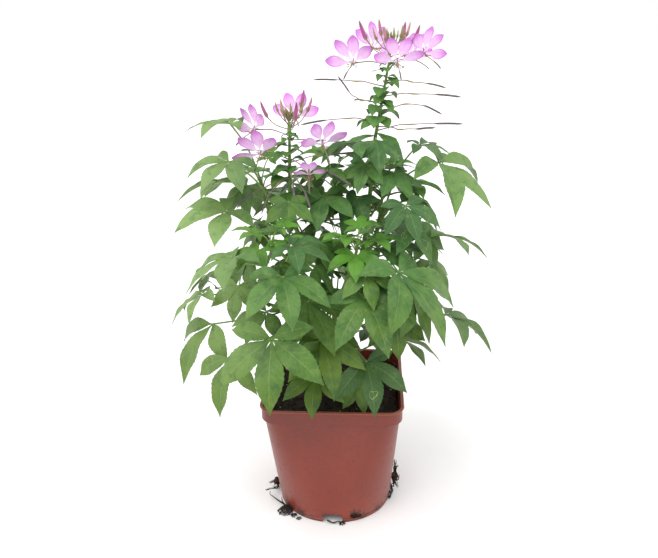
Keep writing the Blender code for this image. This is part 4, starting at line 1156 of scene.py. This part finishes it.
soilLook = {
    "peat": rgb(58, 46, 40), "damp": rgb(32, 26, 23), "bark": rgb(98, 76, 58), "fibre": rgb(118, 96, 74),
    "perlite": rgb(226, 222, 212), "perliteGrey": rgb(168, 160, 148),
    "top": 0.106, "mound": 0.004, "crumbSize": 0.0021, "crumbs": 62000.0,
    "perliteSize": 0.0017, "perliteCount": 2600.0, "rings": 30, "inset": 0.0019, "floor": 0.0081,
}


def soilFinish():
    look = soilLook
    soil = Finish("darkPeat", Roughness=0.95, Specular_IOR_Level=0.15)
    clump = soil.cloud(180, 5, 0.7)
    fine = soil.cloud(900, 4, 0.7)
    fibre = soil.cloud(60, 3, 0.6, soil.scaled(soil.place, (8, 1, 8)))
    colour = soil.mix(look["damp"], look["peat"], clump.rise(0.35, 0.65))
    colour = soil.coats(colour, look, ("bark", fine.rise(0.56, 0.72) * 0.7),
                        ("fibre", fibre.rise(0.66, 0.74) * 0.6))
    return soil.show(colour, 0.85 + fine * 0.15, [(clump, 0.8, 0.002), (fine, 0.6, 0.0006)])


def perliteFinish():
    perlite = Finish("perlite", Roughness=0.85)
    pores = perlite.cloud(1600, 3, 0.6)
    grey = perlite.cloud(300, 2)
    colour = perlite.mix(soilLook["perlite"], soilLook["perliteGrey"],
                         pores.rise(0.55, 0.7) * 0.6 + grey.rise(0.5, 0.8) * 0.3)
    return perlite.show(colour, 0.85, [(pores, 0.7, 0.0002)])


def soilHeight(x, y):
    look = soilLook
    mound = look["mound"] * 0.6 * (1 - min((x * x + y * y) / 0.0036, 1.0))
    rough = noise.fractal(Vector((x * 70, y * 70, 3.1)), 0.9, 2.0, 4) * 0.0016
    return look["top"] + mound + rough


def makeSoil(material):
    look = soilLook
    spin = Matrix.Rotation(math.radians(potLook["turn"]), 3, "Z")
    bandFoot = potLook["height"] - potLook["band"]
    rim = bodyRing(bandFoot, look["inset"])
    rings = [bodyRing(look["floor"], look["inset"]), bodyRing(bandFoot * 0.5, look["inset"]), rim]
    for k in range(look["rings"]):
        share = 1 - k / look["rings"]
        places = [(p.x * share, p.y * share) for p in rim]
        rings.append([Vector((x, y, soilHeight(x, y) if share < 1 else look["top"] - 0.0002))
                      for x, y in places])
    shape = Shape()
    shape.loft([shape.ring([spin @ p for p in ring]) for ring in rings])
    return shape.build("soilBed", material)


class Tree:  # Geometry Nodes: things placed on a surface, made real and painted
    def __init__(self, name, floats):
        self.group = bpy.data.node_groups.new(name, "GeometryNodeTree")
        face = self.group.interface
        face.new_socket("Surface", in_out="INPUT", socket_type="NodeSocketGeometry")
        face.new_socket("Made", in_out="OUTPUT", socket_type="NodeSocketGeometry")
        kinds = [(title, "NodeSocketFloat") for title in floats]
        for title, kind in kinds + [("Seed", "NodeSocketInt"), ("Finish", "NodeSocketMaterial")]:
            face.new_socket(title, in_out="INPUT", socket_type=kind)
        self.given = self.group.nodes.new("NodeGroupInput").outputs

    def node(self, kind, settings=None, sockets=None):
        made = self.group.nodes.new(kind)
        for key, value in (settings or {}).items():
            setattr(made, key, value)
        for key, value in (sockets or {}).items():
            if isinstance(value, bpy.types.NodeSocket):
                self.group.links.new(value, made.inputs[key])
            else:
                made.inputs[key].default_value = value
        return made.outputs

    def strew(self, sowing, thing, posed):  # sowing and posed: sockets beyond the usual ones
        given = self.given
        points = self.node("GeometryNodeDistributePointsOnFaces", {}, {
            "Mesh": given["Surface"], "Density": given["Density"], "Seed": given["Seed"], **sowing})
        strewn = self.node("GeometryNodeInstanceOnPoints", {}, {
            "Points": points["Points"], "Instance": thing["Mesh"], "Rotation": points["Rotation"], **posed})
        real = self.node("GeometryNodeRealizeInstances", {}, {0: strewn[0]})
        painted = self.node("GeometryNodeSetMaterial", {}, {"Geometry": real[0], "Material": given["Finish"]})
        self.node("NodeGroupOutput", {}, {0: painted[0]})
        return self.group


def scatterTree(name):  # small lumps strewn over the upward faces of a surface
    tree = Tree(name, ["Size", "Density", "Least Size", "Lowest", "Stretch"])
    given = tree.given
    heights = tree.node("ShaderNodeSeparateXYZ", {}, {0: tree.node("GeometryNodeInputPosition")[0]})
    above = tree.node("FunctionNodeCompare", {"data_type": "FLOAT", "operation": "GREATER_THAN"},
                      {0: heights["Z"], 1: given["Lowest"]})
    lump = tree.node("GeometryNodeMeshIcoSphere", {}, {"Radius": 0.5, "Subdivisions": 1})
    spin = tree.node("FunctionNodeRandomValue", {"data_type": "FLOAT_VECTOR"},
                     {"Max": (6.283, 6.283, 6.283), "Seed": given["Seed"]})
    length = tree.node("FunctionNodeRandomValue", {"data_type": "FLOAT"},
                       {2: given["Least Size"], 3: given["Size"]})
    squeeze = tree.node("ShaderNodeCombineXYZ", {}, {0: 1.0, 1: given["Stretch"], 2: 0.6})
    scale = tree.node("ShaderNodeVectorMath", {"operation": "SCALE"}, {0: squeeze[0], "Scale": length[1]})
    return tree.strew({"Selection": above[0]}, lump, {"Rotation": spin[0], "Scale": scale[0]})


def hairTree(name):  # short tapered hairs that stand on a stem's surface
    tree = Tree(name, ["Length", "Thickness", "Density"])
    given = tree.given
    spike = tree.node("GeometryNodeMeshCone", {}, {
        "Vertices": 3, "Depth": given["Length"], "Radius Bottom": given["Thickness"], "Radius Top": 0.0})
    size = tree.node("FunctionNodeRandomValue", {"data_type": "FLOAT"},
                     {2: 0.45, 3: 1.0, "Seed": given["Seed"]})
    return tree.strew({}, spike, {"Scale": size[1]})


def grown(name, surface, tree, values):  # runs a tree on a copy of a surface and keeps the plain mesh
    piece = addPiece(name, surface.data.copy())
    modifier = piece.modifiers.new(name, "NODES")
    modifier.node_group = tree
    for socket in tree.interface.items_tree:
        if socket.in_out == "INPUT" and socket.name in values:
            modifier[socket.identifier] = values[socket.name]
    plain(piece)
    piece.data.name = name
    return piece


def rootFinish():
    root = Finish("mattedRoots", Roughness=0.9, Specular_IOR_Level=0.2)
    fibre = root.cloud(420, 4, 0.7)
    clot = root.cloud(150, 3)
    colour = root.mix(rgb(82, 62, 46), rgb(36, 28, 23),
                      fibre.rise(0.38, 0.55) * 0.8 + clot.rise(0.45, 0.65) * 0.6)
    return root.show(colour, 0.9, [(fibre, 0.7, 0.0005)])


def leaning(path, lean):
    made = []
    for i, point in enumerate(path):
        moved = point + lean * (i / (len(path) - 1))
        made.append(Vector((moved.x, moved.y, max(moved.z, 0.0006))))
    return made


def makeRoots(name, material, seed, lean=Vector()):  # lean: how far the tips sink and turn
    mesh = welded(name)
    rand = random.Random(seed)
    shape = Shape()
    limbs = limbsOf(mesh)
    core = middle([limb.centres[0] for limb in limbs])
    low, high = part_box(name)
    for limb in limbs:
        addTube(shape, leaning([core] + limb.centres[1:], lean), [(0, 0.0009), (0.5, 0.0005), (1, 0.0002)],
                plainTone, 8, 20)
        for _ in range(5):  # finer strands beside each
            path = [core] + [centre + Vector([rand.uniform(-0.0016, 0.0016) for _ in range(3)])
                             for centre in limb.centres[1:]]
            path = [clamped(point, low, high, 0.0003) for point in path]
            addTube(shape, leaning(path, lean), [(0, 0.0004), (0.5, 0.00022), (1, 0.0001)], plainTone, 5, 16)
    lump = bmesh.new()
    bmesh.ops.create_icosphere(lump, subdivisions=4, radius=0.0034)
    for v in lump.verts:
        v.co *= 1 + 0.28 * noise.fractal(v.co * 420 + Vector((seed, 0, 0)), 0.9, 2.0, 3)
        v.co += core
    data = bpy.data.meshes.new(name)
    lump.to_mesh(data)
    lump.free()
    mesh.free()
    data.materials.append(material)
    clod = addPiece(name + "Clod", data)
    return claim(clod, "roots"), claim(shape.build(name + "Strands", material), "roots", name)


spillLook = {
    "patches": [  # centre, way it faces, radius: soil that came out at the drain notches
        ((-0.0440, -0.0315, 0.0010), (0, 0, 1), 0.0062), ((-0.0425, -0.0310, 0.0030), (-0.5, -0.4, 1), 0.0036),
        ((-0.0395, -0.0335, 0.0040), (-0.6, -0.6, 0.5), 0.0024),
        ((-0.0375, -0.0400, 0.0005), (0, 0, 1), 0.0030), ((0.0515, -0.0080, 0.0030), (1, -0.2, 0.3), 0.0036),
        ((0.0532, -0.0040, 0.0080), (1, -0.1, 0.2), 0.0042),
        ((0.0540, -0.0030, 0.0140), (1, 0, 0.1), 0.0040), ((0.0543, -0.0010, 0.0200), (1, 0, 0.1), 0.0030),
        ((0.0546, 0.0010, 0.0260), (1, 0, 0.1), 0.0020), ((0.0155, -0.0488, 0.0075), (0.3, -0.95, 0.1), 0.0040),
        ((0.0200, -0.0472, 0.0060), (0.38, -0.92, 0.1), 0.0030), ((0.0050, -0.0515, 0.0004), (0, 0, 1), 0.0030),
        ((-0.0450, -0.0330, 0.0002), (0, 0, 1), 0.0075), ((0.0490, -0.0160, 0.0040), (0.95, -0.3, 0.2), 0.0040),
        ((0.0505, -0.0110, 0.0090), (0.97, -0.2, 0.2), 0.0036),
        ((-0.0330, -0.0440, 0.0004), (0, 0, 1), 0.0024)],
    "density": 2.4e6, "size": 0.0011, "least": 0.0003, "heap": 0.5,
    "strands": [
        [(-0.0440, -0.0300, 0.0030), (-0.0510, -0.0235, 0.0034), (-0.0575, -0.0160, 0.0030),
         (-0.0604, -0.0130, 0.0034), (-0.0600, -0.0120, 0.0060)],
        [(-0.0440, -0.0300, 0.0030), (-0.0480, -0.0290, 0.0070), (-0.0485, -0.0270, 0.0110)],
        [(-0.0080, -0.0500, 0.0030), (-0.0030, -0.0520, 0.0016), (0.0020, -0.0520, 0.0030),
         (0.0070, -0.0525, 0.0008)],
        [(0.0535, -0.0030, 0.0060), (0.0560, -0.0040, 0.0130), (0.0556, -0.0010, 0.0200),
         (0.0566, 0.0010, 0.0280)],
        [(0.0545, -0.0030, 0.0100), (0.0580, -0.0050, 0.0120), (0.0590, -0.0030, 0.0160)]],
}


def makeSpills(tree, soilMaterial, rootMaterial):
    look = spillLook
    eighth = 0.7854  # of a turn
    shape = Shape()
    for centre, way, radius in look["patches"]:
        turned = Vector(way).to_track_quat("Z", "Y")
        turns = [k * eighth for k in range(8)]
        rim = shape.ring([Vector(centre) + turned @ Vector((math.cos(turn), math.sin(turn), 0)) * radius
                          for turn in turns])
        peak = shape.ring([Vector(centre) + turned @ Vector((0, 0, radius * look["heap"]))])[0]
        shape.faces += [(rim[k], rim[(k + 1) % 8], peak) for k in range(8)]
    patches = shape.build("spillPatches")
    crumbs = grown("spilledSoil", patches, tree, {
        "Size": look["size"], "Least Size": look["least"], "Density": look["density"],
        "Lowest": -1.0, "Stretch": 1.4, "Seed": 21, "Finish": soilMaterial})
    bpy.data.objects.remove(patches)
    for v in crumbs.data.vertices:
        v.co.z = max(v.co.z, 0.0001)
    strands = Shape()
    for path in look["strands"]:
        addTube(strands, [Vector(point) for point in path], [(0, 0.0008), (0.6, 0.0005), (1, 0.0002)],
                plainTone, 7, 24)
    claim(crumbs, "soil")
    claim(strands.build("strayRoots", rootMaterial), "roots")


print("finishes")
leafGreen = leafFinish([mineSpot(*row) for row in leafLook["mines"]])
hairy = stemFinish()
lilac = petalFinish()
stalky = stalkFinish()
rosy = budFinish()

print("leaves")
for number in range(1, 35):
    makeLeaf(f"leaf_{number:02d}", leafGreen, number)

makeInnerLeaves(leafGreen)

print("shoots")
barks = []
shootNames = ["upper_left_shoot", "upper_right_shoot", "centre_shoot", "front_left_shoot", "front_shoot",
              "low_left_shoot"]
for number, name in enumerate(shootNames):
    barks.append(makeShoot(name, leafGreen, hairy, 100 + number * 20)[0])

print("stems")
for name in ("main_stem", "right_stem"):
    barks.append(claim(barkOf(name + "Bark", welded(name), set(), hairy), "stem", name))

print("flower heads")
for head, seed in (("left", 300), ("right", 400)):
    barks.append(makeRaceme(head + "_raceme", leafGreen, hairy, stalky, seed))
    makeBuds(head + "_bud_cluster", rosy, stalky, hairy, seed + 90)
    for number in range(1, 6):
        makeFlower(f"{head}_flower_{number}", lilac, stalky, seed + 50 + number)

hairs = hairTree("stemHairs")
for bark in barks:
    down = grown(bark.name + "Hairs", bark, hairs, {
        "Length": stemLook["hairLength"], "Thickness": 0.00006, "Density": stemLook["hairDensity"], "Seed": 3,
        "Finish": hairy})
    claim(down, "stem")

print("pot and soil")
makePot(potFinish())
peat = soilFinish()
bed = makeSoil(peat)
strew = scatterTree("strewnLumps")
crumbs = grown("soilCrumbs", bed, strew, {
    "Size": soilLook["crumbSize"], "Least Size": 0.0005, "Density": soilLook["crumbs"],
    "Lowest": 0.104, "Stretch": 1.5, "Seed": 5, "Finish": peat})
grains = grown("perliteGrains", bed, strew, {
    "Size": soilLook["perliteSize"], "Least Size": 0.0008, "Density": soilLook["perliteCount"],
    "Lowest": 0.1045, "Stretch": 0.9, "Seed": 11, "Finish": perliteFinish()})
claim(bed, "soil", "potting_soil")
claim(crumbs, "soil")
claim(grains, "soil")
matted = rootFinish()
makeRoots("root_tuft_left", matted, 5, Vector((0.003, -0.011, -0.006)))
makeRoots("root_tuft_right", matted, 8)
makeSpills(strew, peat, matted)

print("floor, lights and camera")
floorMesh = bpy.data.meshes.new("floor")
floorMesh.from_pydata([(-6, -6, 0), (6, -6, 0), (6, 6, 0), (-6, 6, 0)], [], [(0, 1, 2, 3)])
paper = Finish("paleFloor", Roughness=0.9, Specular_IOR_Level=0.1)
grain = paper.cloud(40, 2)
floorMesh.materials.append(paper.show(paper.mix((0.93, 0.93, 0.93, 1), (0.97, 0.97, 0.97, 1), grain), 0.9))
floor = addPiece("floor", floorMesh, True)

world = bpy.data.worlds.new("studio")
world.use_nodes = True
world.node_tree.nodes["Background"].inputs["Color"].default_value = (1, 1, 1, 1)
world.node_tree.nodes["Background"].inputs["Strength"].default_value = 1.0
bpy.context.scene.world = world


def addSun(name, direction, softness, strength):
    light = bpy.data.lights.new(name, "SUN")
    light.angle = softness
    light.energy = strength
    holder = bpy.data.objects.new(name, light)
    holder.rotation_euler = Vector(direction).to_track_quat("-Z", "Y").to_euler()
    bpy.context.scene.collection.objects.link(holder)


addSun("windowLight", (0.45, 0.55, -1.0), 0.9, 1.5)
addSun("sideLight", (-0.8, 0.5, -0.55), 0.7, 0.5)

cameraLook = {"sensor": 36, "focal": 760 / 658, "place": (-0.0038, -0.596, 0.437), "dip": 0.3646,
              "roll": -0.012}
cameraData = bpy.data.cameras.new("camera")
cameraData.sensor_width = cameraLook["sensor"]
cameraData.lens = cameraLook["focal"] * cameraLook["sensor"]  # focal: as a share of the frame's width
cameraData.clip_start = 0.01
camera = bpy.data.objects.new("camera", cameraData)
camera.location = cameraLook["place"]
tilt = Matrix.Rotation(math.pi / 2 - cameraLook["dip"], 3, "X")
camera.rotation_euler = (tilt @ Matrix.Rotation(cameraLook["roll"], 3, "Z")).to_euler()
bpy.context.scene.collection.objects.link(camera)
bpy.context.scene.camera = camera
bpy.context.scene.view_settings.view_transform = "Standard"
